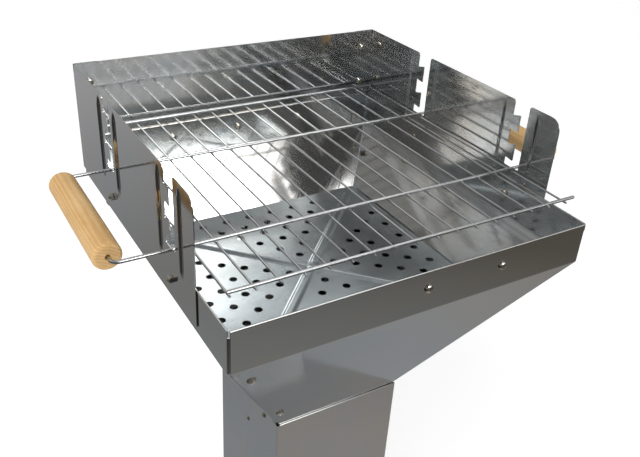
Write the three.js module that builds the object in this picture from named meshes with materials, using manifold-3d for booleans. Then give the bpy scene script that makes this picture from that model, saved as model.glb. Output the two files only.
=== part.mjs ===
// Column charcoal grill: a square mirror-polished bowl with a funnel floor, on a two-part sheet
// column that stands in a pressed base tray. Side guards with hooked notches carry the cooking
// grid by its two handle wires. Millimetres, Z up, X to the right and the front towards -Y.
// The origin is on the floor, under the centre of the bowl.

import * as THREE from 'three';
import { mergeVertices } from 'three/addons/utils/BufferGeometryUtils.js';
import Module from 'manifold-3d';

const wasm = await Module();
wasm.setup();

// Sheet metal and clearances
const sheet = 1;
const gap = 0.3;
const bendRadius = 2;
const hemHeight = 8;
const overrun = 5;
const weldTolerance = 0.0001;
const bendSteps = 2;
const roundingSteps = 2;

// Bowl: low vertical walls above a funnel that ends in a collar inside the column
const bowlWidth = 440;
const bowlDepth = 450;
const lowWallHeight = 49;
const funnelDrop = 240;
const foldHeight = 700;
const collarLength = 30;
const hipFlangeWidth = 24;
const hipFlangeStop = 10;
const bowlBendRadius = 4;

// Column: two channels, the rear one reaching into the front one
const columnWidth = 182;
const columnDepth = 173;
const frontChannelReach = 102;
const channelOverlap = 36;
const footFlangeReach = 22;

// Base tray
const baseSize = 320;
const baseHeight = 26;
const baseCornerRadius = 14;
const baseEdgeRound = 4;
const baseReturn = 14;
const baseCornerSteps = 3;

// Guards
const guardTop = 146;
const guardBottom = 8;
const guardFront = 68;
const finCornerRadius = 17;
const guardCornerRadius = 4;
const guardRearFlange = 32;
const reliefWidth = 1.6;
const reliefDepth = 12;

// Notches for the handle wires: each is open to the top, with hooked tabs on its rear edge
const notchFromEnd = 129.6;
const notchWidth = 25;
const notchFloor = 62;
const notchFloorRadius = 2.5;
const tabReach = 12.8;
const tabRoot = 17;
const tabTip = 22.4;
const tabRise = 3.6;
const tabPitch = 37.2;
const topTabRoot = 126.4;
const tabCornerRadius = 1.2;
const tabCount = 2;

// Pressed beads on the guards
const beadWidth = 6;
const beadProud = 1.5;
const beadInset = 15.2;
const beadBottom = 40;
const beadTopInset = 4;
const beadEndSteps = 2;
const beadSides = 10;

// Fasteners: pan-head bolts with hexagon nuts, and small pan-head screws
const shankRadius = 2.5;
const boltHeadRadius = 4.8;
const boltHeadHeight = 3;
const nutAcrossCorners = 9.2;
const nutHeight = 4;
const threadEnd = 1.5;
const holeClearance = 0.4;
const screwShankRadius = 1.7;
const screwHeadRadius = 3.5;
const screwHeadHeight = 2;
const screwLength = 8;
const fastenerSides = 8;
const nutSides = 6;

// Places of the fasteners
const guardBoltHeight = 26;
const wallBoltHeight = 28;
const wallBoltSpacing = 98;
const rearCornerInset = 17;
const rearCornerHeights = [121, 69];
const hipBoltInset = 15;
const hipBoltShares = [0.14, 0.77];
const collarScrewDrop = 9;
const collarScrewOffset = 50;
const seamScrewTop = 58;
const seamScrewPitch = 240;
const seamScrewCount = 2;
const baseBoltOffset = 60;

// Cooking grid: four stout cross wires on top of thin bars
const wireRadius = 2;
const barRadius = 1.25;
const barPitch = 26.2;
const gridSideGap = 1.5;
const barOverhang = 4;
const weldSink = 0.5;
const railOverhang = 2;
const frontRailTail = 15;
const frontRailFromFront = 36;
const rearRailFromFront = 440;
const gridShift = 5;
const barShift = 1.7;
const wireSides = 8;
const barSides = 6;

// Handles: beech dowels that turn on the bent ends of the handle wires
const handleRadius = 15;
const handleEndRound = 5;
const handleFromWall = 66;
const wireBendRadius = 8;
const wireBendSteps = 5;
const handleEndGap = 4;
const handleBoreRadius = 2.4;
const handleBoreDepth = 26;
const wireGrip = 20;
const handleSides = 16;
const handleRoundSteps = 3;

// Coal plate: perforated in four sectors, with a raised rib along each diagonal
const coalPlateDepth = 79;
const coalRim = 6;
const coalHoleRadius = 5.2;
const coalHoleSides = 8;
const coalFirstRow = 32.5;
const coalRowPitch = 23.5;
const coalHolePitch = 35;
const coalHoleMargin = 12;
const coalSectorCount = 4;
const ribWidth = 14;
const ribHeight = 3.5;
const ribEndInset = 16;

// Ash drawer at the foot of the column
const drawerWidth = 158;
const drawerTrayDepth = 150;
const drawerTrayHeight = 38;
const drawerHeight = 48;
const drawerSideGap = 1;
const drawerOpeningTop = 112;
const drawerFrontWidth = 174;
const drawerFrontLap = 8;
const drawerFrontRadius = 4;
const runnerWidth = 16;
const runnerLeg = 12;
const runnerEndGap = 4;
const airSlotCount = 5;
const airSlotWidth = 6;
const airSlotPitch = 22;
const airSlotBottom = 90;
const airSlotTop = 107;
const drawerBoltHeight = 66;
const drawerBoltOffset = 55;
const knobRadius = 12;
const knobLength = 18;
const knobNeckRadius = 5;
const knobNeckLength = 7;
const knobRound = 3;
const knobSides = 12;

// Derived places
const halfWidth = bowlWidth / 2;
const halfDepth = bowlDepth / 2;
const notchSpacing = bowlDepth - 2 * notchFromEnd;
const columnHalfWidth = columnWidth / 2;
const columnHalfDepth = columnDepth / 2;
const layer = sheet + gap;
const twoSheets = sheet + layer;
const holeRadius = shankRadius + holeClearance;
const collarHalfWidth = columnHalfWidth - 2 * layer;
const collarHalfDepth = columnHalfDepth - layer;
const drawerFrontBottom = drawerHeight - drawerFrontLap - sheet;
const drawerFrontTop = drawerOpeningTop + drawerFrontLap;

// Finishes
const mirrorSteel = { color: 0x8d8d8c, roughness: 0.12, metalness: 1 };
const satinSteel = { color: 0x9a9a98, roughness: 0.3, metalness: 1 };
const galvanised = { color: 0x7c868a, roughness: 0.45, metalness: 0.9 };
const chromeWire = { color: 0xc9ccce, roughness: 0.1, metalness: 1 };
const zincFastener = { color: 0xa9a99f, roughness: 0.3, metalness: 1 };
const beech = { color: 0xd2aa6e, roughness: 0.6, metalness: 0 };

// Helpers: points, closed bodies and joining

const point = (x, y) => new THREE.Vector2(x, y);

// Welds equal corners and drops the flat triangles that a weld leaves at a pole.
function closedBody(geometry) {
  const bare = geometry.clone();
  bare.deleteAttribute('normal');
  bare.deleteAttribute('uv');
  const welded = mergeVertices(bare, weldTolerance);
  const corners = welded.index.array;
  const kept = [];
  for (let i = 0; i < corners.length; i += 3) {
    const [a, b, c] = corners.slice(i, i + 3);
    if (a !== b && b !== c && c !== a) kept.push(a, b, c);
  }
  welded.setIndex(kept);
  return welded;
}

function solidOf(geometry) {
  const body = closedBody(geometry);
  return new wasm.Manifold(new wasm.Mesh({
    numProp: 3,
    vertProperties: Float32Array.from(body.attributes.position.array),
    triVerts: Uint32Array.from(body.index.array),
  }));
}

function geometryOf(solid) {
  const { vertProperties, triVerts } = solid.getMesh();
  const geometry = new THREE.BufferGeometry();
  geometry.setAttribute('position', new THREE.BufferAttribute(vertProperties, 3));
  geometry.setIndex(new THREE.BufferAttribute(triVerts, 1));
  return geometry;
}

const joined = (...geometries) => geometryOf(geometries.map(solidOf).reduce((a, b) => a.add(b)));
const common = (...geometries) => geometryOf(geometries.map(solidOf).reduce((a, b) => a.intersect(b)));
const cut = (geometry, ...tools) => (
  geometryOf(tools.map(solidOf).reduce((a, b) => a.subtract(b), solidOf(geometry)))
);

function mirrored(geometry) {
  const copy = closedBody(geometry);
  copy.scale(-1, 1, 1);
  const corners = Array.from(copy.index.array);
  for (let i = 0; i < corners.length; i += 3) {
    [corners[i + 1], corners[i + 2]] = [corners[i + 2], corners[i + 1]];
  }
  copy.setIndex(corners);
  return copy;
}

// Extrusions of a flat outline: in Y and Z along X, in X and Z along Y, in X and Y along Z

const outline = (points) => new THREE.Shape(points);

function extruded(shape, length) {
  return new THREE.ExtrudeGeometry(shape, {
    depth: length, bevelEnabled: false, curveSegments: roundingSteps,
  });
}

function alongX(shape, start, end) {
  const axes = new THREE.Matrix4().makeBasis(
    new THREE.Vector3(0, 1, 0), new THREE.Vector3(0, 0, 1), new THREE.Vector3(1, 0, 0),
  );
  return extruded(shape, end - start).applyMatrix4(axes).translate(start, 0, 0);
}

function alongY(shape, start, end) {
  const axes = new THREE.Matrix4().makeBasis(
    new THREE.Vector3(1, 0, 0), new THREE.Vector3(0, 0, 1), new THREE.Vector3(0, -1, 0),
  );
  return extruded(shape, end - start).applyMatrix4(axes).translate(0, end, 0);
}

const alongZ = (shape, start, end) => extruded(shape, end - start).translate(0, 0, start);

function block([x0, y0, z0], [x1, y1, z1]) {
  const box = new THREE.BoxGeometry(x1 - x0, y1 - y0, z1 - z0);
  return box.translate((x0 + x1) / 2, (y0 + y1) / 2, (z0 + z1) / 2);
}

// An outline through corners, each given as [point, radius of its rounding]
function roundedOutline(corners) {
  const shape = new THREE.Shape();
  corners.forEach(([corner, radius], i) => {
    const [before] = corners.at(i - 1);
    const [after] = corners[(i + 1) % corners.length];
    const entry = corner.clone().add(before.clone().sub(corner).setLength(radius));
    const exit = corner.clone().add(after.clone().sub(corner).setLength(radius));
    if (i === 0) shape.moveTo(entry.x, entry.y);
    else shape.lineTo(entry.x, entry.y);
    if (radius > 0) shape.quadraticCurveTo(corner.x, corner.y, exit.x, exit.y);
  });
  shape.closePath();
  return shape;
}

function roundedRectangle(x0, y0, x1, y1, radius) {
  return roundedOutline([
    [point(x0, y0), radius],
    [point(x1, y0), radius],
    [point(x1, y1), radius],
    [point(x0, y1), radius],
  ]);
}

// Bent sheet: a line of straight runs with rounded bends, thickened to its right-hand side

function bentLine(points, radius = bendRadius) {
  return points.flatMap((corner, i) => {
    if (i === 0 || i === points.length - 1) return [corner];
    const inward = points[i - 1].clone().sub(corner).normalize();
    const onward = points[i + 1].clone().sub(corner).normalize();
    const turn = Math.PI - inward.angleTo(onward);
    const tangent = radius * Math.tan(turn / 2);
    const arc = new THREE.QuadraticBezierCurve(
      corner.clone().addScaledVector(inward, tangent),
      corner,
      corner.clone().addScaledVector(onward, tangent),
    );
    return arc.getPoints(bendSteps);
  });
}

function offsetLine(line, distance) {
  const normals = line.slice(1).map((end, i) => {
    const run = end.clone().sub(line[i]).normalize();
    return point(run.y, -run.x);
  });
  return line.map((corner, i) => {
    const before = normals[Math.max(i - 1, 0)];
    const after = normals[Math.min(i, normals.length - 1)];
    const mitre = before.clone().add(after).multiplyScalar(distance / (1 + before.dot(after)));
    return corner.clone().add(mitre);
  });
}

const sheetOutline = (line, from, to) => (
  outline([...offsetLine(line, from), ...offsetLine(line, to).reverse()])
);

// Round bodies about Z

function turned(profile, sides) {
  const body = new THREE.LatheGeometry(profile, sides);
  return body.rotateX(Math.PI / 2);
}

function pin(radius, start, end, sides = fastenerSides) {
  const body = new THREE.CylinderGeometry(radius, radius, end - start, sides);
  return body.rotateX(Math.PI / 2).translate(0, 0, (start + end) / 2);
}

// Moves a body from its own frame, with its axis on +Z, to a place and a direction
function placed(geometry, place, direction) {
  const turn = new THREE.Quaternion().setFromUnitVectors(
    new THREE.Vector3(0, 0, 1), direction.clone().normalize(),
  );
  return geometry.clone().applyQuaternion(turn).translate(place.x, place.y, place.z);
}

// A fastener's name, the place of its head's underside and the direction its head stands in
const spot = (name, x, y, z, dx, dy, dz) => ({
  name,
  place: new THREE.Vector3(x, y, z),
  direction: new THREE.Vector3(dx, dy, dz),
});

// Fasteners: the surface under the head is at zero and the head stands on +Z

const headProfileShares = [[1, 0], [1, 0.45], [0.6, 1], [0, 1]];

function headProfile(radius, height) {
  return headProfileShares.map(([across, up]) => point(radius * across, gap + height * up));
}

// A shank with its tightened hexagon nut under a stack of sheets, up to a height inside the head
function shankWithNut(stack, top) {
  const nutTop = -(stack + gap);
  const nutBottom = nutTop - nutHeight;
  const end = nutBottom - threadEnd;
  const nutRadius = nutAcrossCorners / 2;
  return turned([
    point(0, end),
    point(shankRadius, end),
    point(shankRadius, nutBottom),
    point(nutRadius, nutBottom),
    point(nutRadius, nutTop),
    point(shankRadius, nutTop),
    point(shankRadius, top),
    point(0, top),
  ], nutSides);
}

// A bolt with its nut, both clear of the sheets between them
function bolt(stack) {
  const head = turned([point(0, gap), ...headProfile(boltHeadRadius, boltHeadHeight)], fastenerSides);
  return joined(head, shankWithNut(stack, gap + boltHeadHeight / 2));
}

function screw() {
  return turned([
    point(0, -screwLength),
    point(screwShankRadius, screwShankRadius - screwLength),
    point(screwShankRadius, gap),
    ...headProfile(screwHeadRadius, screwHeadHeight),
  ], fastenerSides);
}

// The same spots seen from a frame that stands higher
const lowered = (spots, height) => spots.map(({ name, place, direction }) => ({
  name, direction, place: place.clone().setZ(place.z - height),
}));

const drill = (radius) => pin(radius, -(twoSheets + overrun), overrun);

const drilled = (geometry, spots, radius = holeRadius) => (
  cut(geometry, ...spots.map(({ place, direction }) => placed(drill(radius), place, direction)))
);

// Where every fastener sits, in the bowl's frame: zero height is the wall's bottom fold

const sides = [-1, 1];
const sideName = (side) => (side < 0 ? 'left' : 'right');
const endName = (end) => (end < 0 ? 'front' : 'rear');
const levelNames = ['upper', 'lower'];

const guardBoltSpots = (side) => sides.map((end) => spot(
  `${sideName(side)}_guard_${endName(end)}_bolt`,
  side * (halfWidth - sheet), (end * notchSpacing) / 2, guardBoltHeight,
  -side, 0, 0,
));

const rearCornerSpots = sides.flatMap((side) => rearCornerHeights.map((height, i) => spot(
  `rear_${sideName(side)}_corner_${levelNames[i]}_bolt`,
  side * (halfWidth - rearCornerInset), halfDepth + gap, height,
  0, -1, 0,
)));

const wallBoltPlaces = { left: -wallBoltSpacing, middle: 0, right: wallBoltSpacing };

const rearWallSpots = Object.entries(wallBoltPlaces).map(([name, x]) => (
  spot(`rear_wall_${name}_bolt`, x, halfDepth - sheet, wallBoltHeight, 0, -1, 0)
));

const frontWallSpots = ['middle', 'right'].map((name) => (
  spot(`front_wall_${name}_bolt`, wallBoltPlaces[name], -halfDepth, wallBoltHeight, 0, -1, 0)
));

// Height of the slope's outer face at a distance from the centre plane
const slopeHeight = (half, neck, distance) => (-funnelDrop * (half - distance)) / (half - neck);

// Wall, slope and collar seen in section, from the rim to the collar's end, as corners and bent
function bowlProfile(half, neck, collar) {
  const neckHeight = slopeHeight(half, neck, collar);
  const corners = [
    point(half, lowWallHeight - sheet),
    point(half, 0),
    point(collar, neckHeight),
    point(collar, neckHeight - collarLength),
  ];
  return { half, neck, corners, line: bentLine(corners, bowlBendRadius) };
}

const endProfile = bowlProfile(halfDepth, columnHalfDepth, collarHalfDepth);
const sideProfile = bowlProfile(halfWidth, columnHalfWidth, collarHalfWidth);

// The four panels lap the same way round: each is bolted beside one hip to the panel before it.
const ends = { own: endProfile, cross: sideProfile };
const flanks = { own: sideProfile, cross: endProfile };
const panels = [
  { name: 'rear', hip: 'rear_right', ...ends, turn: 0, spots: rearWallSpots },
  { name: 'left', hip: 'rear_left', ...flanks, turn: Math.PI / 2, spots: guardBoltSpots(-1) },
  { name: 'front', hip: 'front_left', ...ends, turn: Math.PI, spots: frontWallSpots },
  { name: 'right', hip: 'front_right', ...flanks, turn: -Math.PI / 2, spots: guardBoltSpots(1) },
];

// The hip bolts stand square to the slope of the panel that covers the hip.
function hipBoltSpot({ hip, own, cross, turn }, share, level) {
  const up = new THREE.Vector3(0, 0, 1);
  const across = cross.half + (cross.neck - cross.half) * share - hipBoltInset;
  const out = own.half + (own.neck - own.half) * share;
  return {
    name: `${hip}_hip_${level}_bolt`,
    place: new THREE.Vector3(across, out, -funnelDrop * share).applyAxisAngle(up, turn),
    direction: new THREE.Vector3(0, funnelDrop, own.neck - own.half).applyAxisAngle(up, turn),
  };
}

const hipSpots = panels.flatMap((panel) => (
  hipBoltShares.map((share, i) => hipBoltSpot(panel, share, levelNames[i]))
));

// Bowl panels

// The whole section inside a panel line moved inwards, run on past the rim and the collar
function sectionInside(line, inset) {
  const side = offsetLine(line, inset);
  const top = point(side[0].x, side[0].y + overrun);
  const end = side.at(-1);
  const bottom = point(end.x, end.y - overrun);
  const right = [top, ...side, bottom];
  const left = right.map((corner) => point(-corner.x, corner.y)).reverse();
  return outline([...right, ...left]);
}

// A closed hem: the sheet folded flat on itself, with a round top
function hemOutline(half) {
  const inner = half - 2 * sheet;
  const shape = new THREE.Shape();
  shape.moveTo(inner, lowWallHeight - hemHeight);
  shape.lineTo(half, lowWallHeight - hemHeight);
  shape.lineTo(half, lowWallHeight - sheet);
  shape.absarc(half - sheet, lowWallHeight - sheet, sheet, 0, Math.PI);
  shape.closePath();
  return shape;
}

// A panel of the bowl, made facing the rear and then turned. On its left side, seen from above, a
// flange follows the corner and the hip behind the next panel. On its right side it ends a sheet
// and a gap short of the corner and covers the flange of the panel before it.
function bowlPanel({ own, cross, turn, spots }) {
  const reach = bowlDepth;
  const insideOwn = (line, inset) => alongX(sectionInside(line, inset), -reach, reach);
  const insideCross = (inset) => alongY(sectionInside(cross.line, inset), -reach, reach);
  const face = common(alongX(sheetOutline(own.line, 0, sheet), -reach, reach), insideCross(layer));
  const flange = common(
    cut(insideCross(layer), insideCross(twoSheets)),
    cut(insideOwn(own.line, 0), insideOwn(own.corners, hipFlangeWidth)),
    block([-reach, 0, hipFlangeStop - funnelDrop], [0, reach, lowWallHeight - hemHeight - gap]),
  );
  const hem = alongX(hemOutline(own.half), twoSheets - cross.half, cross.half - layer);
  const panel = joined(face, flange, hem).rotateZ(turn);
  const collarSpots = lowered([...frontCollarSpots, ...rearCollarSpots], foldHeight);
  return drilled(drilled(panel, [...spots, ...hipSpots]), collarSpots, screwHole);
}

// Guards

// Corners of one notch in the guard's outline, from its front edge round to its rear edge
function notchCorners(centre) {
  const front = centre - notchWidth / 2;
  const rear = centre + notchWidth / 2;
  const tip = rear - tabReach;
  const tabs = Array.from({ length: tabCount }, (_, i) => {
    const root = topTabRoot - tabPitch * (tabCount - 1 - i);
    return [
      [point(rear, root - tabRoot), 0],
      [point(tip, root + tabRise - tabTip), tabCornerRadius],
      [point(tip, root + tabRise), tabCornerRadius],
      [point(rear, root), 0],
    ];
  }).flat();
  return [
    [point(front, guardTop), guardCornerRadius],
    [point(front, notchFloor), notchFloorRadius],
    [point(rear, notchFloor), notchFloorRadius],
    ...tabs,
    [point(rear, guardTop), guardCornerRadius],
  ];
}

const guardOuter = halfWidth + layer;
const guardEnd = halfDepth + 2 * layer;
const guardStart = guardFront - halfDepth;
const notchCentres = sides.map((end) => (end * notchSpacing) / 2);

function bead(y) {
  const half = beadWidth / 2;
  const radius = (half * half + beadProud * beadProud) / (2 * beadProud);
  const length = guardTop - beadTopInset - beadBottom - beadWidth;
  const capsule = (size) => {
    const body = new THREE.CapsuleGeometry(size, length, beadEndSteps, beadSides);
    const height = beadBottom + half + length / 2;
    return body.rotateX(Math.PI / 2).translate(guardOuter + beadProud - radius, y, height);
  };
  return { ridge: capsule(radius), groove: capsule(radius - sheet) };
}

// The right guard: its side runs on into a flange that is bent behind the rear guard.
function sideGuard() {
  const plan = bentLine([
    point(guardOuter - guardRearFlange, guardEnd),
    point(guardOuter, guardEnd),
    point(guardOuter, guardStart),
  ]);
  const silhouette = roundedOutline([
    [point(guardStart, guardBottom), 0],
    [point(guardStart, guardTop), finCornerRadius],
    ...notchCentres.flatMap(notchCorners),
    [point(guardEnd, guardTop), 0],
    [point(guardEnd, guardBottom), 0],
  ]);
  const bent = alongZ(sheetOutline(plan, 0, sheet), guardBottom, guardTop);
  const blank = common(bent, alongX(silhouette, 0, bowlWidth));
  const beads = notchCentres.flatMap((centre) => (
    sides.map((end) => bead(centre + end * (notchWidth / 2 + beadInset)))
  ));
  const outside = block(
    [guardOuter - sheet / 2, -bowlDepth, guardBottom],
    [guardOuter + overrun, bowlDepth, guardTop],
  );
  const ridges = beads.map(({ ridge }) => common(ridge, outside));
  const pressed = cut(joined(blank, ...ridges), ...beads.map(({ groove }) => groove));
  const relief = block(
    [guardOuter - sheet - overrun, guardEnd - bendRadius - sheet - reliefWidth, guardTop - reliefDepth],
    [guardOuter + overrun, guardEnd - bendRadius - sheet, guardTop + overrun],
  );
  return drilled(cut(pressed, relief), [...guardBoltSpots(1), ...rearCornerSpots]);
}

function rearGuard() {
  const shape = roundedRectangle(-halfWidth, guardBottom, halfWidth, guardTop, guardCornerRadius);
  const plate = alongY(shape, halfDepth + gap, halfDepth + layer);
  return drilled(plate, [...rearCornerSpots, ...rearWallSpots]);
}

// Coal plate, with its top face at zero

const funnelHalf = (half, neck, inset, height) => {
  const slant = Math.hypot(half - neck, funnelDrop) / funnelDrop;
  return half + ((half - neck) * height) / funnelDrop - inset * slant;
};

const coalBottom = -(coalPlateDepth + coalRim);
const coalHalfWidth = funnelHalf(halfWidth, columnHalfWidth, twoSheets + gap, coalBottom);
const coalHalfDepth = funnelHalf(halfDepth, columnHalfDepth, twoSheets + gap, coalBottom);

const coalRowSpace = Math.min(coalHalfWidth, coalHalfDepth) - coalHoleMargin - coalHoleRadius;
const coalRowCount = 1 + Math.floor((coalRowSpace - coalFirstRow) / coalRowPitch);

// In each sector, row by row away from the centre, there is one hole more than in the row before.
function coalHoles() {
  const holes = [];
  for (let sector = 0; sector < coalSectorCount; sector += 1) {
    const turn = (sector * 2 * Math.PI) / coalSectorCount;
    for (let row = 0; row < coalRowCount; row += 1) {
      for (let place = 0; place <= row; place += 1) {
        const out = coalFirstRow + row * coalRowPitch;
        const along = (place - row / 2) * coalHolePitch;
        holes.push(point(out, along).rotateAround(point(0, 0), turn));
      }
    }
  }
  return holes;
}

function coalPlate() {
  const shape = roundedRectangle(-coalHalfWidth, -coalHalfDepth, coalHalfWidth, coalHalfDepth, bendRadius);
  coalHoles().forEach((centre) => {
    const ring = Array.from({ length: coalHoleSides }, (_, i) => {
      const angle = (i * 2 * Math.PI) / coalHoleSides;
      return point(Math.cos(angle), Math.sin(angle)).multiplyScalar(coalHoleRadius).add(centre);
    });
    shape.holes.push(new THREE.Path(ring));
  });
  const plate = alongZ(shape, -sheet, 0);
  const rim = cut(
    block([-coalHalfWidth, -coalHalfDepth, -coalRim], [coalHalfWidth, coalHalfDepth, -sheet / 2]),
    block(
      [sheet - coalHalfWidth, sheet - coalHalfDepth, -coalRim - overrun],
      [coalHalfWidth - sheet, coalHalfDepth - sheet, overrun],
    ),
  );
  const reach = Math.hypot(coalHalfWidth, coalHalfDepth) - ribEndInset;
  const ribSection = (inset, foot) => outline([
    point(inset - ribWidth / 2, foot),
    point(inset - ribWidth / 4, ribHeight - inset),
    point(ribWidth / 4 - inset, ribHeight - inset),
    point(ribWidth / 2 - inset, foot),
  ]);
  const diagonal = Math.atan2(coalHalfDepth, coalHalfWidth);
  const alongDiagonals = (section, length) => [diagonal, -diagonal].map((angle) => (
    alongX(section, -length, length).rotateZ(angle)
  ));
  const ribs = alongDiagonals(ribSection(0, -sheet / 2), reach);
  const grooves = alongDiagonals(ribSection(sheet, -sheet - overrun), reach - sheet);
  return cut(joined(plate, rim, ...ribs), ...grooves);
}

// Cooking grid, with the axes of the handle wires at zero height

const gridHeight = notchFloor + gap + wireRadius;
const barHeight = -(wireRadius + gap + barRadius);
const railHeight = -(weldSink + gap);
const barRoom = halfWidth - gridShift - barShift - railOverhang - gridSideGap;
const barsEachSide = Math.floor(barRoom / barPitch);
const outerBar = barsEachSide * barPitch;
const frontRailY = frontRailFromFront - halfDepth;
const rearRailY = rearRailFromFront - halfDepth;
const handleX = halfWidth + handleFromWall;

// A wire lies midway in the open channel between the tab tips and the notch's front edge.
const wireY = (centre) => centre - tabReach / 2;

function crossRail(left, right, y) {
  const rail = new THREE.CylinderGeometry(wireRadius, wireRadius, right - left, wireSides);
  return rail.rotateZ(Math.PI / 2).translate((left + right) / 2, y, railHeight);
}

// The thin bars, welded under the front and rear rails
function weldedGrid() {
  const railEnd = outerBar + railOverhang;
  const front = crossRail(-railEnd, outerBar + frontRailTail, frontRailY);
  const rear = crossRail(-railEnd, railEnd, rearRailY);
  const length = rearRailY - frontRailY + 2 * barOverhang;
  const bars = Array.from({ length: 2 * barsEachSide + 1 }, (_, i) => {
    const bar = new THREE.CylinderGeometry(barRadius, barRadius, length, barSides);
    return bar.translate(i * barPitch - outerBar, (frontRailY + rearRailY) / 2, barHeight);
  });
  return joined(front, rear, ...bars);
}

// A path through given points, which keeps a section at each of them
class RoutedPath extends THREE.Curve {
  constructor(points) {
    super();
    this.points = points;
  }

  getPoint(share, target = new THREE.Vector3()) {
    const place = share * (this.points.length - 1);
    const index = Math.min(Math.floor(place), this.points.length - 2);
    return target.copy(this.points[index]).lerp(this.points[index + 1], place - index);
  }

  getUtoTmapping(share) {
    return share;
  }
}

// One handle wire: across the grid and out on both sides, each end bent into a handle. towards is
// +1 where the ends turn to the rear and -1 where they turn to the front.
function handleWire(towards) {
  const bend = (side) => Array.from({ length: wireBendSteps + 1 }, (_, i) => {
    const angle = (i * Math.PI) / 2 / wireBendSteps;
    const x = handleX - wireBendRadius + wireBendRadius * Math.sin(angle);
    const y = wireBendRadius - wireBendRadius * Math.cos(angle);
    return new THREE.Vector3(side * x, towards * y, 0);
  });
  const tip = towards * (wireBendRadius + handleEndGap + wireGrip);
  const points = [
    new THREE.Vector3(-handleX, tip, 0),
    ...bend(-1).reverse(),
    ...bend(1),
    new THREE.Vector3(handleX, tip, 0),
  ];
  const section = outline(Array.from({ length: wireSides }, (_, i) => {
    const angle = ((i + 1 / 2) * 2 * Math.PI) / wireSides;
    return point(Math.cos(angle), Math.sin(angle)).multiplyScalar(wireRadius);
  }));
  return new THREE.ExtrudeGeometry(section, {
    steps: points.length - 1,
    bevelEnabled: false,
    extrudePath: new RoutedPath(points),
  });
}

const handleHalf = notchSpacing / 2 - wireBendRadius - handleEndGap;

function handle() {
  const round = Array.from({ length: handleRoundSteps + 1 }, (_, i) => {
    const angle = (i * Math.PI) / 2 / handleRoundSteps;
    return point(
      handleRadius - handleEndRound + handleEndRound * Math.sin(angle),
      handleHalf - handleEndRound + handleEndRound * Math.cos(angle),
    );
  });
  const bottom = handleHalf - handleBoreDepth;
  const upper = [
    point(0, bottom),
    point(handleBoreRadius, bottom),
    point(handleBoreRadius, handleHalf),
    ...round,
  ];
  const lower = upper.map((corner) => point(corner.x, -corner.y));
  return new THREE.LatheGeometry([...lower, ...upper.reverse()], handleSides);
}

// Column

const columnFoot = baseHeight + gap;
const frontChannelEnd = frontChannelReach - columnHalfDepth;
const rearChannelStart = frontChannelEnd - channelOverlap;

// A channel's top stays a sheet and a gap under the slopes, clear of their rounded neck bend.
function channelTop(halfInside, depthInside) {
  const underSides = slopeHeight(halfWidth, columnHalfWidth, halfInside);
  const underEnds = slopeHeight(halfDepth, columnHalfDepth, depthInside);
  return foldHeight + Math.min(underSides, underEnds) - layer;
}

const frontTop = channelTop(columnHalfWidth - sheet, columnHalfDepth - sheet);
const rearTop = channelTop(columnHalfWidth - layer - sheet, columnHalfDepth - sheet);
const collarScrewHeight = rearTop - collarScrewDrop;

const collarSpots = (end, half) => sides.map((side) => spot(
  `${sideName(side)}_collar_${endName(end)}_screw`,
  side * half, end * collarScrewOffset, collarScrewHeight,
  side, 0, 0,
));
const frontCollarSpots = collarSpots(-1, columnHalfWidth);
const rearCollarSpots = collarSpots(1, columnHalfWidth - layer);
const seamY = frontChannelEnd - channelOverlap / 2;
const seamSpots = sides.flatMap((side) => Array.from({ length: seamScrewCount }, (_, i) => spot(
  `${sideName(side)}_seam_${levelNames[i]}_screw`,
  side * columnHalfWidth, seamY, frontTop - seamScrewTop - i * seamScrewPitch,
  side, 0, 0,
)));
const baseSpots = sides.flatMap((end) => sides.map((side) => spot(
  `base_${endName(end)}_${sideName(side)}_bolt`,
  side * baseBoltOffset, end * (columnHalfDepth - footFlangeReach / 2 - sheet), columnFoot + sheet,
  0, 0, 1,
)));
const screwHole = screwShankRadius + holeClearance;

// A channel open to the rear, with a flange turned in at the foot
function channel(half, openEnd, top) {
  const plan = bentLine([
    point(half, openEnd),
    point(half, -columnHalfDepth),
    point(-half, -columnHalfDepth),
    point(-half, openEnd),
  ]);
  const wall = alongZ(sheetOutline(plan, 0, sheet), columnFoot, top);
  const inner = half - layer - sheet;
  const foot = block(
    [-inner, sheet / 2 - columnHalfDepth, columnFoot],
    [inner, footFlangeReach - columnHalfDepth, columnFoot + sheet],
  );
  return joined(wall, foot);
}

function frontChannel() {
  const opening = block(
    [-drawerWidth / 2 - drawerSideGap, -columnHalfDepth - overrun, drawerHeight - drawerSideGap],
    [drawerWidth / 2 + drawerSideGap, bendRadius + sheet - columnHalfDepth, drawerOpeningTop],
  );
  const body = cut(channel(columnHalfWidth, frontChannelEnd, frontTop), opening);
  return drilled(drilled(body, [...frontCollarSpots, ...seamSpots], screwHole), baseSpots);
}

function rearChannel() {
  const body = channel(columnHalfWidth - layer, -rearChannelStart, rearTop).rotateZ(Math.PI);
  return drilled(drilled(body, [...rearCollarSpots, ...seamSpots], screwHole), baseSpots);
}

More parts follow.
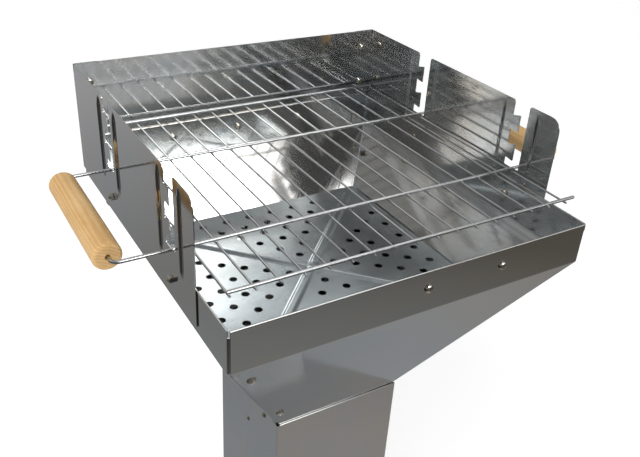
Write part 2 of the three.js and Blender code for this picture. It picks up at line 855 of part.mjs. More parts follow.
// Base tray: a rounded top, straight sides and a narrow return that lies on the floor
function baseTray() {
  const half = baseSize / 2;
  const inset = half - baseEdgeRound;
  const crown = new THREE.ExtrudeGeometry(
    roundedRectangle(-inset, -inset, inset, inset, baseCornerRadius),
    {
      depth: baseHeight - baseEdgeRound,
      bevelThickness: baseEdgeRound,
      bevelSize: baseEdgeRound,
      bevelSegments: roundingSteps,
      curveSegments: baseCornerSteps,
    },
  );
  const body = cut(crown, block([-baseSize, -baseSize, -baseSize], [baseSize, baseSize, 0]));
  const insideHalf = half - sheet;
  const insideRadius = baseCornerRadius + baseEdgeRound - sheet;
  const inside = alongZ(
    roundedRectangle(-insideHalf, -insideHalf, insideHalf, insideHalf, insideRadius),
    sheet, baseHeight - baseEdgeRound,
  );
  const underTop = inset - sheet;
  const roof = alongZ(
    roundedRectangle(-underTop, -underTop, underTop, underTop, baseCornerRadius),
    sheet, baseHeight - sheet,
  );
  const mouthHalf = half - baseReturn;
  const mouth = alongZ(
    roundedRectangle(-mouthHalf, -mouthHalf, mouthHalf, mouthHalf, baseCornerRadius),
    -overrun, overrun,
  );
  return drilled(cut(body, inside, roof, mouth), baseSpots);
}

// Ash drawer: its tray's underside is at zero and it hangs on two angle runners

const drawerBoltZ = drawerBoltHeight - drawerHeight;
const drawerFaceY = -columnHalfDepth - gap - sheet;
const drawerBoltSpots = sides.map((side) => (
  spot(`drawer_${sideName(side)}_bolt`, side * drawerBoltOffset, drawerFaceY, drawerBoltZ, 0, -1, 0)
));
const knobSpot = spot('drawer_knob', 0, drawerFaceY, drawerBoltZ, 0, -1, 0);
const drawerSpots = [...drawerBoltSpots, knobSpot];

function ashTray() {
  const half = drawerWidth / 2;
  const front = -columnHalfDepth;
  const rear = front + drawerTrayDepth;
  const tray = cut(
    block([-half, front, 0], [half, rear, drawerTrayHeight]),
    block([sheet - half, front + sheet, sheet], [half - sheet, rear - sheet, drawerTrayHeight + overrun]),
  );
  return drilled(tray, drawerSpots);
}

function drawerFront() {
  const half = drawerFrontWidth / 2;
  const shape = roundedRectangle(
    -half, drawerFrontBottom - drawerHeight, half, drawerFrontTop - drawerHeight, drawerFrontRadius,
  );
  const plate = alongY(shape, drawerFaceY, drawerFaceY + sheet);
  const slots = Array.from({ length: airSlotCount }, (_, i) => {
    const centre = (i - (airSlotCount - 1) / 2) * airSlotPitch;
    const slot = roundedRectangle(
      centre - airSlotWidth / 2, airSlotBottom - drawerHeight,
      centre + airSlotWidth / 2, airSlotTop - drawerHeight,
      airSlotWidth / 2,
    );
    return alongY(slot, drawerFaceY - overrun, drawerFaceY + overrun);
  });
  return drilled(cut(plate, ...slots), drawerSpots);
}

function knob() {
  const body = turned([
    point(0, gap),
    point(knobNeckRadius, gap),
    point(knobNeckRadius, knobNeckLength),
    point(knobRadius - knobRound, knobNeckLength + knobRound),
    point(knobRadius, knobNeckLength + 2 * knobRound),
    point(knobRadius, knobLength - knobRound),
    point(knobRadius - knobRound, knobLength),
    point(0, knobLength),
  ], knobSides);
  return joined(body, shankWithNut(twoSheets, knobNeckLength));
}

// The right runner: its ledge is under the tray's edge and its leg on the column's side wall
function runner() {
  const wall = columnHalfWidth - layer - sheet - gap;
  const ledge = drawerHeight - gap;
  const line = bentLine([
    point(wall, ledge - runnerLeg),
    point(wall, ledge),
    point(wall - runnerWidth, ledge),
  ]);
  const shape = sheetOutline(line, 0, -sheet);
  const reach = columnHalfDepth - sheet - runnerEndGap;
  return alongY(shape, -reach, reach);
}

// Assembly

const part = new THREE.Group();

function subGroup(x, y, z) {
  const group = new THREE.Group();
  group.position.set(x, y, z);
  part.add(group);
  return group;
}

function add(parent, name, geometry, finish, position = [0, 0, 0]) {
  const mesh = new THREE.Mesh(closedBody(geometry), new THREE.MeshStandardMaterial(finish));
  mesh.name = name;
  mesh.position.set(...position);
  parent.add(mesh);
  return mesh;
}

function addFasteners(parent, spots, geometry) {
  spots.forEach(({ name, place, direction }) => {
    add(parent, name, placed(geometry, place, direction), zincFastener);
  });
}

const pedestal = subGroup(0, 0, 0);
add(pedestal, 'base_tray', baseTray(), satinSteel);
add(pedestal, 'column_front', frontChannel(), mirrorSteel);
add(pedestal, 'column_rear', rearChannel(), mirrorSteel);
add(pedestal, 'right_drawer_runner', runner(), galvanised);
add(pedestal, 'left_drawer_runner', mirrored(runner()), galvanised);
addFasteners(pedestal, baseSpots, bolt(twoSheets));
addFasteners(pedestal, [...frontCollarSpots, ...rearCollarSpots, ...seamSpots], screw());

const bowl = subGroup(0, 0, foldHeight);
panels.forEach((panel) => add(bowl, `bowl_${panel.name}_panel`, bowlPanel(panel), mirrorSteel));
add(bowl, 'right_guard', sideGuard(), mirrorSteel);
add(bowl, 'left_guard', mirrored(sideGuard()), mirrorSteel);
add(bowl, 'rear_guard', rearGuard(), mirrorSteel);
addFasteners(bowl, sides.flatMap(guardBoltSpots), bolt(twoSheets));
addFasteners(bowl, [...rearCornerSpots, ...rearWallSpots, ...hipSpots], bolt(twoSheets));
addFasteners(bowl, frontWallSpots, bolt(sheet));

add(part, 'coal_plate', coalPlate(), galvanised, [0, 0, foldHeight - coalPlateDepth]);

const grid = subGroup(gridShift, 0, foldHeight + gridHeight);
const [frontWireY, rearWireY] = notchCentres.map(wireY);
const handleY = (frontWireY + rearWireY) / 2;
add(grid, 'cooking_grid', weldedGrid(), chromeWire, [barShift, 0, 0]);
add(grid, 'front_handle_wire', handleWire(1), chromeWire, [0, frontWireY, 0]);
add(grid, 'rear_handle_wire', handleWire(-1), chromeWire, [0, rearWireY, 0]);
add(grid, 'left_handle', handle(), beech, [-handleX, handleY, 0]);
add(grid, 'right_handle', handle(), beech, [handleX, handleY, 0]);

const drawer = subGroup(0, 0, drawerHeight);
add(drawer, 'ash_tray', ashTray(), galvanised);
add(drawer, 'drawer_front', drawerFront(), mirrorSteel);
addFasteners(drawer, drawerBoltSpots, bolt(twoSheets));
addFasteners(drawer, [knobSpot], knob());

export default part;
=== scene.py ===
# %% [markdown]
# A polished column grill, dressed for its picture.
# The measured model of the grill is loaded first. It stays where it is and its meshes are not
# changed. This file gives each of its pieces a finish, and puts finer surfaces over the pieces
# whose roundings, wires, holes and fasteners are coarse in the measured model.

# %% Load the measured model
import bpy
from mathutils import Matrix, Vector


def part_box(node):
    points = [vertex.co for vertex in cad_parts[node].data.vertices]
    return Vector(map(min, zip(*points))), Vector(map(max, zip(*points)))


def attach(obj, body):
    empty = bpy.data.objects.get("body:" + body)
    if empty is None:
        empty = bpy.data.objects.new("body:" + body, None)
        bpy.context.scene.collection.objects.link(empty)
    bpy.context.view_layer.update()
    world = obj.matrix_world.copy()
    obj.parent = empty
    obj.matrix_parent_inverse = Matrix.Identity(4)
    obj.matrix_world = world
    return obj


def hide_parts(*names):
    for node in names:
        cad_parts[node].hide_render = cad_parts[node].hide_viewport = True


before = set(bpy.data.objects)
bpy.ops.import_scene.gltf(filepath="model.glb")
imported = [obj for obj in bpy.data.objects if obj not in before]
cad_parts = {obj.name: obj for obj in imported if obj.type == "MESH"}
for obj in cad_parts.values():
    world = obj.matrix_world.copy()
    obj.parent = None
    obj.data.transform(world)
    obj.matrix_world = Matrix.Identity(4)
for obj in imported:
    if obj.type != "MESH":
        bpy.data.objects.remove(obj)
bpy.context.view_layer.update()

# %% Libraries
import math

import bmesh
import bpy
import numpy as np
from mathutils import Matrix, Vector
from mathutils.geometry import delaunay_2d_cdt

# %% [markdown]
# The driving sizes are read from the measured model: how wide and deep the bowl is, where its
# rim lies and where the guards end. The few that a box can't tell are named here, in metres.
# Reading them from the model keeps the dressing in step with it when a size changes.

# %% Sizes of the grill
MM = 0.001
sheet = 1 * MM
clearance = 0.3 * MM
tiny = 1e-9
half_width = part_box("bowl_right_panel")[1].x
half_depth = -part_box("bowl_front_panel")[0].y
rim_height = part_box("bowl_front_panel")[1].z
guard_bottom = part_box("rear_guard")[0].z
guard_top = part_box("rear_guard")[1].z
print("bowl", 2 * half_width, "by", 2 * half_depth, "rim at", rim_height)

# %% [markdown]
# Shader maths reads best as a formula. A small class wraps a socket of a node, so that a sum or
# a product of two such values adds the Math node for it. Every other node comes from one method,
# which takes the node's type, its settings and what goes into its sockets.

# %% A class for shader sums
class Signal:
    """A node's output that can be added, subtracted, multiplied and divided."""

    def __init__(self, finish, socket):
        self.finish = finish
        self.socket = socket

    def combine(self, operation, first, second):
        return self.finish.node("ShaderNodeMath", {"operation": operation}, [first, second])

    def __add__(self, other):
        return self.combine("ADD", self, other)

    def __sub__(self, other):
        return self.combine("SUBTRACT", self, other)

    def __mul__(self, other):
        return self.combine("MULTIPLY", self, other)

    def __truediv__(self, other):
        return self.combine("DIVIDE", self, other)

    def __rsub__(self, other):
        return self.combine("SUBTRACT", other, self)

    __radd__ = __add__
    __rmul__ = __mul__


class Finish:
    """A material under construction: its nodes, and the shader that they feed."""

    def __init__(self, name, tree=None):
        if tree is None:
            self.material = bpy.data.materials.new(name)
            self.material.use_nodes = True
            tree = self.material.node_tree
        self.tree = tree
        self.tree.nodes.clear()

    def node(self, kind, settings=None, inputs=(), output=0):
        """Adds a node, sets it up, fills its sockets and returns the output that is asked for."""
        made = self.tree.nodes.new(kind)
        for key, value in (settings or {}).items():
            setattr(made, key, value)
        named = inputs.items() if isinstance(inputs, dict) else enumerate(inputs)
        for key, value in named:
            if isinstance(value, Signal):
                self.tree.links.new(value.socket, made.inputs[key])
            elif value is not None:
                made.inputs[key].default_value = value
        return Signal(self, made.outputs[output]) if made.outputs else None

    def place(self, scale=(1, 1, 1), centre=(0, 0, 0), turn=(0, 0, 0)):
        """The object's own coordinates, moved, turned and stretched."""
        here = self.node("ShaderNodeTexCoord", output="Object")
        inputs = {"Vector": here, "Location": centre, "Rotation": turn, "Scale": scale}
        return self.node("ShaderNodeMapping", {}, inputs)

    def noise(self, vector, scale, detail=2.0, roughness=0.5):
        inputs = {"Vector": vector, "Scale": scale, "Detail": detail, "Roughness": roughness}
        return self.node("ShaderNodeTexNoise", {}, inputs)

    def between(self, value, low, high, out_low=0.0, out_high=1.0):
        """Carries a value from one range to another, and stops at its ends."""
        return self.node("ShaderNodeMapRange", {"clamp": True}, [value, low, high, out_low, out_high])

    def blend(self, share, first, second):
        """A colour between two colours."""
        settings = {"data_type": "RGBA", "blend_type": "MIX"}
        return self.node("ShaderNodeMix", settings, {0: share, 6: first, 7: second}, output=2)

    def measure(self, operation, *vectors):
        """A number worked out from vectors, such as their dot product or a length."""
        return self.node("ShaderNodeVectorMath", {"operation": operation}, vectors, "Value")

    def bump(self, height, distance):
        inputs = {"Strength": 1.0, "Distance": distance, "Height": height}
        return self.node("ShaderNodeBump", {}, inputs)

    def surface(self, **inputs):
        """Ends the material in one Principled shader."""
        shader = self.node("ShaderNodeBsdfPrincipled", {}, inputs)
        self.node("ShaderNodeOutputMaterial", {}, {"Surface": shader})
        return self.material


def colour(red, green, blue):
    """A screen colour in steps of 255, as the linear colour that a shader needs."""
    steps = np.array([red, green, blue]) / 255
    linear = np.where(steps <= 0.04045, steps / 12.92, ((steps + 0.055) / 1.055) ** 2.4)
    return (*linear.tolist(), 1.0)


print("shader sums ready")

# %% [markdown]
# The bowl, the guards and the column are stainless sheet with a mirror finish. A perfect mirror
# looks like glass, so three things are added: the sheet is very slightly wavy, which bends the
# reflections a little; rolling and wiping leave long faint streaks that are a touch less shiny;
# and the tone drifts between warm and cool over a hand's width. The streaks run along the
# direction in which each sheet was rolled, so the finish is made once per direction. The guards
# are held straight by their beads and flanges, so their sheet is less wavy.

# %% Mirror-polished sheet
warm_steel, cool_steel = colour(202, 199, 194), colour(195, 199, 202)
haze, streak_haze = 0.07, 0.03
panel_wave, guard_wave = 0.35 * MM, 0.2 * MM
rolled_across, rolled_deep, rolled_upright = (0.05, 1, 1), (1, 0.05, 1), (1, 1, 0.04)


def mirror_sheet(name, rolled, wave=panel_wave):
    """Polished steel whose wiping streaks are short across and long along the sheet.

    rolled stretches the object coordinates: a small number makes long streaks on that axis.
    wave is how far the sheet is out of flat.
    """
    finish = Finish(name)
    here, along = finish.place(), finish.place(scale=rolled)
    cloud = finish.noise(here, scale=7.0, detail=3.0)
    streak = finish.noise(along, scale=90.0, detail=4.0, roughness=0.6)
    tone = finish.between(cloud * 0.6 + streak * 0.4, 0.35, 0.65)
    swell = finish.noise(here, scale=5.0, detail=1.0)
    ripple = finish.noise(along, scale=35.0)
    return finish.surface(**{
        "Base Color": finish.blend(tone, cool_steel, warm_steel),
        "Metallic": 1.0,
        "Roughness": streak * streak_haze + haze,
        "Normal": finish.bump(swell + ripple * 0.03, wave),
    })


guard_across = mirror_sheet("polished_guard_across", rolled_across, guard_wave)
guard_deep = mirror_sheet("polished_guard_deep", rolled_deep, guard_wave)
polished_across = mirror_sheet("polished_sheet_across", rolled_across)
polished_deep = mirror_sheet("polished_sheet_deep", rolled_deep)
polished_upright = mirror_sheet("polished_sheet_upright", rolled_upright)
print("mirror finishes:", polished_across.name, polished_deep.name, polished_upright.name)

# %% [markdown]
# The coal plate, the ash tray and its runners are zinc-coated sheet. It is bluer, darker and
# duller than the polished steel, so what it mirrors is soft. It has clouds the size of a hand,
# and handling leaves fine scratches along the way that it was rolled.

# %% Zinc-coated sheet
def zinc_sheet(name, rolled):
    """Soft blue-grey metal with clouds and fine scratches along the way it was rolled."""
    finish = Finish(name)
    along = finish.place(scale=rolled)
    scratch = finish.noise(along, scale=420.0, detail=4.0, roughness=0.7)
    band = finish.noise(along, scale=60.0, detail=3.0)
    cloud = finish.noise(finish.place(), scale=14.0, detail=4.0, roughness=0.6)
    tone = finish.between(cloud * 0.55 + scratch * 0.2 + band * 0.25, 0.35, 0.7)
    return finish.surface(**{
        "Base Color": finish.blend(tone, colour(162, 170, 173), colour(186, 191, 192)),
        "Metallic": 0.82,
        "Roughness": scratch * 0.1 + cloud * 0.12 + 0.11,
        "Normal": finish.bump(scratch * 0.08 + cloud * 0.3, 0.25 * MM),
    })


zinc_plate = zinc_sheet("zinc_coated_plate", rolled_across)
zinc_tray = zinc_sheet("zinc_coated_tray", rolled_deep)
print("zinc finishes:", zinc_plate.name, zinc_tray.name)

# %% [markdown]
# The base tray is satin sheet: the same steel, left with its fine grinding lines, so its
# reflections are broad. The wires are drawn steel wire with a thin plating, a light grey whose
# tone changes slowly along a wire. The bolts and screws are nickel-plated: shinier than the
# wire, with a trace of yellow and small duller patches.

# %% Satin sheet, wire and fasteners
def satin_sheet(name):
    """Ground steel with fine lines along the width."""
    finish = Finish(name)
    line = finish.noise(finish.place(scale=(0.03, 1, 1)), scale=700.0, roughness=0.6)
    tone = finish.between(finish.noise(finish.place(), scale=6.0, detail=3.0), 0.35, 0.65)
    return finish.surface(**{
        "Base Color": finish.blend(tone, colour(166, 165, 162), colour(159, 162, 164)),
        "Metallic": 1.0,
        "Roughness": line * 0.2 + 0.2,
        "Normal": finish.bump(line, 0.04 * MM),
    })


def bright_metal(name, light, dark, roughness, dents, patches):
    """Plated metal, a little darker and duller in patches, with dents of the depth that is given.
    The larger the number of patches, the smaller they are."""
    finish = Finish(name)
    patch = finish.between(finish.noise(finish.place(), scale=patches), 0.4, 0.65)
    return finish.surface(**{
        "Base Color": finish.blend(patch, light, dark),
        "Metallic": 1.0,
        "Roughness": patch * 0.08 + roughness,
        "Normal": finish.bump(finish.noise(finish.place(), scale=60.0), dents),
    })


satin_steel = satin_sheet("satin_sheet")
plated_wire = bright_metal("plated_wire", colour(184, 185, 185), colour(172, 174, 175),
                           roughness=0.2, dents=0.02 * MM, patches=14.0)
plated_bolt = bright_metal("plated_fastener", colour(206, 201, 190), colour(168, 163, 152),
                           roughness=0.1, dents=0.2 * MM, patches=180.0)
print("satin, wire and fastener finishes ready")

# %% [markdown]
# The handles are turned beech without varnish. Beech is pale and even: the year rings show as
# soft bands along the dowel and as arcs on its ends, and short darker flecks lie along the
# grain. The rings are circles round an axis beside the dowel, as in a blank that was sawn away
# from the heart of the log.

# %% Beech
def beech_wood(name, heart):
    """Year rings round a far-off heart, flecks along Y and soft clouds of tone."""
    finish = Finish(name)
    from_heart = finish.place(centre=heart, scale=(1, 0.08, 1))
    wobble = finish.noise(finish.place(scale=(1, 0.15, 1)), scale=40.0, detail=3.0)
    settings = {"wave_type": "RINGS", "rings_direction": "Y", "wave_profile": "SIN"}
    inputs = {"Vector": from_heart, "Scale": 95.0, "Distortion": 5.0, "Detail": 3.0,
              "Detail Scale": 1.4, "Detail Roughness": 0.6}
    ring = finish.node("ShaderNodeTexWave", settings, inputs, "Fac")
    fleck = finish.noise(finish.place(scale=(1, 0.25, 1)), scale=500.0, detail=3.0, roughness=0.7)
    fleck = finish.between(fleck, 0.6, 0.74)
    cloud = finish.noise(finish.place(scale=(1, 0.5, 1)), scale=30.0, detail=4.0)
    tone = finish.between(ring * 0.2 + wobble * 0.35 + cloud * 0.6, 0.35, 0.8)
    wood = finish.blend(tone, colour(238, 200, 142), colour(206, 160, 101))
    return finish.surface(**{
        "Base Color": finish.blend(fleck * 0.4, wood, colour(158, 110, 66)),
        "Roughness": tone * 0.1 + 0.52,
        "Normal": finish.bump(fleck * -1.0 + ring * 0.3, 0.12 * MM),
    })


beech = beech_wood("turned_beech", heart=(0.31, 0.0, -0.70))
print("beech ready")

# %% [markdown]
# Finishing the pieces that keep their measured shape is one line each: their material slots are
# given a finish. The rolling direction follows the sheet, so the rear guard has its streaks
# across and the column has them upright.

# %% Finishes of the measured pieces
finish_of_node = {
    "rear_guard": guard_across, "column_front": polished_upright,
    "column_rear": polished_upright, "ash_tray": zinc_tray,
    "left_drawer_runner": zinc_tray, "right_drawer_runner": zinc_tray,
}
for node, material in finish_of_node.items():
    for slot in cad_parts[node].material_slots:
        slot.material = material
print(len(finish_of_node), "measured pieces keep their shape")

# %% [markdown]
# New surfaces are grids of points. A function of two parameters gives the points as one array,
# and the quads between neighbours follow from the grid's own numbering. A closed direction is
# joined by wrapping the numbers round, so no seam is left, and an end can be closed by a fan.

# %% From arrays to meshes
def quads(rows, columns, wrap=True):
    """Corner numbers of the quads of a grid; wrap joins its last column to its first."""
    row = np.arange(rows - 1)[:, None]
    column = np.arange(columns if wrap else columns - 1)[None, :]
    right = (column + 1) % columns
    corners = [row * columns + column, row * columns + right,
               (row + 1) * columns + right, (row + 1) * columns + column]
    return np.stack(corners, axis=-1).reshape(-1, 4)


def mesh_from(points, faces):
    """A mesh from an array of points and a list of arrays of faces with 3 or 4 corners."""
    points = np.asarray(points, dtype=np.float32).reshape(-1, 3)
    counts = np.concatenate([np.full(len(group), group.shape[1]) for group in faces])
    corners = np.concatenate([group.ravel() for group in faces]).astype(np.int32)
    mesh = bpy.data.meshes.new("surface")
    mesh.vertices.add(len(points))
    mesh.vertices.foreach_set("co", points.ravel())
    mesh.loops.add(len(corners))
    mesh.loops.foreach_set("vertex_index", corners)
    mesh.polygons.add(len(counts))
    starts = np.concatenate([[0], np.cumsum(counts)[:-1]]).astype(np.int32)
    mesh.polygons.foreach_set("loop_start", starts)
    mesh.update(calc_edges=True)
    mesh.validate()
    return mesh


def added(name, data):
    """An object at the origin that holds the data, linked into the scene."""
    made = bpy.data.objects.new(name, data)
    bpy.context.scene.collection.objects.link(made)
    return made


def piece(name, mesh, body, material, slot, *nodes, angle):
    """A piece that rides on a body and may stand for measured nodes. Where its faces meet at more
    than the angle, in degrees, they keep an edge."""
    mesh.name = name
    mesh.shade_smooth()
    mesh.set_sharp_from_angle(angle=math.radians(angle))
    mesh.materials.clear()
    mesh.materials.append(material)
    made = added(name, mesh)
    even = made.modifiers.new("flat faces stay flat", "WEIGHTED_NORMAL")
    even.keep_sharp = True
    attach(made, body)
    if nodes:
        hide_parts(*nodes)


def thickened(mesh):
    """The same mesh as a wall one sheet thick: Solidify grows it inwards from its outer face."""
    carrier = added("carrier", mesh)
    wall = carrier.modifiers.new("wall", "SOLIDIFY")
    wall.thickness = sheet
    wall.offset = -1.0
    wall.use_even_offset = True
    evaluated = carrier.evaluated_get(bpy.context.evaluated_depsgraph_get())
    solid = bpy.data.meshes.new_from_object(evaluated)
    bpy.data.objects.remove(carrier)
    return solid


def revolved(profile, sides):
    """Points of a turned body: each (radius, height) of the profile carried round the Z axis."""
    profile = np.asarray(profile, dtype=float)
    angle = np.linspace(0, 2 * np.pi, sides, endpoint=False)
    radius, height = profile[:, 0, None], profile[:, 1, None]
    rings = [radius * np.cos(angle), radius * np.sin(angle), height + 0 * angle]
    return np.stack(rings, axis=-1)


print("mesh helpers ready")

# %% [markdown]
# Outlines are corner points with roundings. Each rounding is the curve that leaves the corner's
# two edges at the same distance, worked out for all corners in one array.

# %% Rounded outlines
def corner_curve(entry, corner, leave, steps):
    """Points (1-t)^2 a + 2t(1-t) c + t^2 b with t from 0 to 1, one run for each corner c."""
    t = np.linspace(0, 1, steps)[None, :, None]
    a, c, b = entry[:, None], corner[:, None], leave[:, None]
    return ((1 - t) ** 2 * a + 2 * t * (1 - t) * c + t ** 2 * b).reshape(-1, 2)


def rounded(corners, radii, steps=8, least_step=1e-7):
    """A closed outline: each corner becomes a corner curve between the places that lie one radius
    from it on its two edges."""
    corners = np.asarray(corners, dtype=float)
    radii = np.asarray(radii, dtype=float)[:, None]
    before = np.roll(corners, 1, axis=0) - corners
    after = np.roll(corners, -1, axis=0) - corners
    entry = corners + radii * before / np.linalg.norm(before, axis=1, keepdims=True)
    leave = corners + radii * after / np.linalg.norm(after, axis=1, keepdims=True)
    line = corner_curve(entry, corners, leave, steps)
    keep = np.linalg.norm(line - np.roll(line, 1, axis=0), axis=1) > least_step
    return line[keep]


def rounded_rectangle(low, high, radius, steps=8):
    """A rectangle between two corner points, anticlockwise, with round corners."""
    (x0, y0), (x1, y1) = low, high
    return rounded([(x0, y0), (x1, y0), (x1, y1), (x0, y1)], [radius] * 4, steps)


def quarter(radius, steps):
    """A quarter circle as its distances from two sides of its corner: r (1 - sin a) goes from r
    to zero while r (1 - cos a) goes from zero to r."""
    angle = np.linspace(0, math.pi / 2, steps)
    return radius * (1 - np.sin(angle)), radius * (1 - np.cos(angle))


def circles(centres, radius, sides):
    """One ring of points round each centre."""
    angle = np.linspace(0, 2 * np.pi, sides, endpoint=False)
    ring = radius * np.stack([np.cos(angle), np.sin(angle)], axis=-1)
    return np.asarray(centres, dtype=float)[:, None, :] + ring[None]


# %% [markdown]
# A sheet-metal piece starts as a flat blank and is then pressed and bent. The blank is cut into
# triangles from its outline, its holes and some extra points where it will be pressed. Blender's
# constrained triangulation does that. What it adds outside the outline or inside a hole is
# dropped by an even-odd test on each triangle's centre, for all triangles at once.

# %% Flat blanks
def inside(points, loop):
    """Even-odd test: counts the loop's edges that a ray in +X from each point crosses."""
    a, b = loop, np.roll(loop, -1, axis=0)
    px, py = points[:, 0, None], points[:, 1, None]
    spans = (a[:, 1] > py) != (b[:, 1] > py)
    rise = np.where(b[:, 1] == a[:, 1], 1, b[:, 1] - a[:, 1])
    cross = a[:, 0] + (py - a[:, 1]) * (b[:, 0] - a[:, 0]) / rise
    return (spans & (px < cross)).sum(axis=1) % 2 == 1


def blank(outline, holes=(), extra=(), lines=()):
    """Points and triangles of a flat sheet with holes. extra holds free points for pressings,
    and lines holds pairs of end points along which the sheet will be bent. The triangulation
    works in millimetres, where points that lie closer than the nearest distance are one."""
    scale, nearest = 1000.0, 1e-5
    points, edges, count = [], [], 0
    for loop in (outline, *holes):
        number = np.arange(len(loop))
        edges.append(np.stack([number, (number + 1) % len(loop)], axis=1) + count)
        points.append(loop)
        count += len(loop)
    for pair in lines:
        edges.append(np.array([[count, count + 1]]))
        points.append(np.asarray(pair, dtype=float))
        count += 2
    if len(extra):
        points.append(np.asarray(extra, dtype=float).reshape(-1, 2))
    flat = (np.concatenate(points) * scale).tolist()
    joined = np.concatenate(edges).tolist()
    found = delaunay_2d_cdt([Vector(p) for p in flat], joined, [], 0, nearest)
    corners = np.array([tuple(p) for p in found[0]]) / scale
    triangles = np.array(found[2])
    centres = corners[triangles].mean(axis=1)
    keep = inside(centres, outline)
    for hole in holes:
        near = (np.abs(centres - hole.mean(axis=0)) < np.ptp(hole, axis=0)).all(axis=1)
        keep[near] &= ~inside(centres[near], hole)
    triangles = triangles[keep]
    used, numbers = np.unique(triangles, return_inverse=True)
    return corners[used], numbers.reshape(-1, 3)


print("blanks ready")

# %% [markdown]
# The bowl is four bent panels. Seen from the side, each panel is a line: down the low wall, over
# the fold, down the slope and into the collar. Seen from above at any height, it is another line:
# along the face to one corner, round a small bend and on along the flange behind the next panel.
# The two lines together give every point of the panel, and Solidify adds the sheet's thickness.

# %% Bent lines
def bent(corners, radius, steps=7):
    """An open line through corners. Each bend is a corner curve that leaves and joins its runs at
    radius * tan(turn / 2) from the corner."""
    corners = np.asarray(corners, dtype=float)
    before, after = corners[:-2] - corners[1:-1], corners[2:] - corners[1:-1]
    before /= np.linalg.norm(before, axis=1, keepdims=True)
    after /= np.linalg.norm(after, axis=1, keepdims=True)
    turn = np.arccos(np.clip(-(before * after).sum(axis=1), -1, 1))
    reach = radius * np.tan(turn / 2)[:, None]
    middle = corners[1:-1]
    curve = corner_curve(middle + before * reach, middle, middle + after * reach, steps)
    return np.concatenate([corners[:1], curve, corners[-1:]])


def moved_in(line, distance):
    """Each point of a line moved to its right along the mean normal of its two runs, by the
    distance over the cosine of half the turn, so that the runs stay parallel."""
    run = np.diff(line, axis=0)
    normal = np.stack([run[:, 1], -run[:, 0]], axis=1)
    normal /= np.linalg.norm(normal, axis=1, keepdims=True)
    one, other = np.concatenate([normal[:1], normal]), np.concatenate([normal, normal[-1:]])
    middle = one + other
    middle /= np.linalg.norm(middle, axis=1, keepdims=True)
    return line + middle * distance / (middle * one).sum(axis=1, keepdims=True)


def out_at(line, height):
    """How far out a falling line lies at each height."""
    return np.interp(height, line[::-1, 1], line[::-1, 0])


low_wall, funnel_drop, collar_length, fold_radius = 49 * MM, 240 * MM, 30 * MM, 4 * MM
fold = rim_height - low_wall
layer = sheet + clearance
neck_width, neck_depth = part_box("column_front")[1].x, -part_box("column_front")[0].y


def panel_corners(half, neck, collar):
    """Rim, fold, neck and end of a panel's outer face, as places out and up."""
    neck_height = fold - funnel_drop * (half - collar) / (half - neck)
    return np.array([(half, rim_height), (half, fold), (collar, neck_height),
                     (collar, neck_height - collar_length)])


side_corners = panel_corners(half_width, neck_width, neck_width - 2 * layer)
end_corners = panel_corners(half_depth, neck_depth, neck_depth - layer)
side_line, end_line = bent(side_corners, fold_radius), bent(end_corners, fold_radius)
print("panel sections of", len(side_line), "points")

# %% [markdown]
# Now the panels themselves. The rim is a closed hem: the sheet is folded flat on itself, so it
# ends in a round top two sheets thick. That round top catches the overhead light as a bright line
# along the rim, and the bend beside each corner catches another.

# %% Bowl panels
hem_height, hem_lip, hem_overlap = 8 * MM, 0.3 * MM, 0.05 * MM
sheet_top = rim_height - hem_height + hem_overlap
flange_width, flange_stop = 24 * MM, 10 * MM
flange_top, flange_low = rim_height - hem_height - clearance, fold - funnel_drop + flange_stop
corner_round, corner_relief = 2.6 * MM, 2.8 * MM


def turned_to_side(points, turn):
    """Points made facing the rear, turned about Z."""
    c, s = math.cos(turn), math.sin(turn)
    return points @ np.array([(c, s, 0), (-s, c, 0), (0, 0, 1)])


def panel_sheet(own_line, own_corners, cross_line, turn):
    """Outer face of a panel: at height z the line from above runs from the right end along the
    face at y = own(z), round a quarter circle of the corner's radius, and along the flange at
    x = -cross(z)."""
    z = np.unique(np.concatenate([own_line[:, 1], cross_line[:, 1], [flange_top, flange_low]]))
    z = z[(z >= own_line[-1, 1]) & (z <= sheet_top)]
    z = np.append(z, sheet_top)[::-1]
    own = out_at(own_line, z)
    right = out_at(moved_in(cross_line, corner_relief), z)
    left = -out_at(moved_in(cross_line, layer), z)
    flange_end = out_at(moved_in(own_corners, flange_width), z)
    from_flange, from_face = quarter(corner_round, 7)
    along_x = [right[:, None], left[:, None] + from_flange, left[:, None]]
    along_y = [own[:, None], own[:, None] - from_face, flange_end[:, None]]
    x, y = np.concatenate(along_x, axis=1), np.concatenate(along_y, axis=1)
    points = np.stack([x, y, np.repeat(z[:, None], x.shape[1], axis=1)], axis=-1)
    rows, columns = x.shape
    faces = quads(rows, columns, wrap=False).reshape(rows - 1, columns - 1, 4)
    kept = np.ones((rows - 1, columns - 1), dtype=bool)
    kept[:, -1] = (z[:-1] <= flange_top + tiny) & (z[1:] >= flange_low - tiny)
    return turned_to_side(points.reshape(-1, 3), turn), faces[kept][:, ::-1]


def hem_rod(own_half, cross_half, turn):
    """The folded rim: a section with a half-circle top, carried from corner to corner."""
    angle = np.linspace(0, math.pi, 11)
    low, high = rim_height - hem_height, rim_height - sheet
    out = np.concatenate([[own_half], own_half - sheet + sheet * np.cos(angle),
                          own_half - np.array([2, 1.7]) * sheet])
    up = np.concatenate([[low], high + sheet * np.sin(angle), [low + hem_lip, low]])
    ends = np.array([cross_half - corner_relief, 2 * sheet + clearance - cross_half])
    x = np.repeat(ends[:, None], len(out), axis=1)
    points = np.stack([x, np.tile(out, (2, 1)), np.tile(up, (2, 1))], axis=-1)
    number = np.arange(1, len(out) - 1)
    fan = np.stack([0 * number, number, number + 1], axis=1)
    return turned_to_side(points.reshape(-1, 3), turn), [quads(2, len(out)), fan[:, ::-1], fan + len(out)]


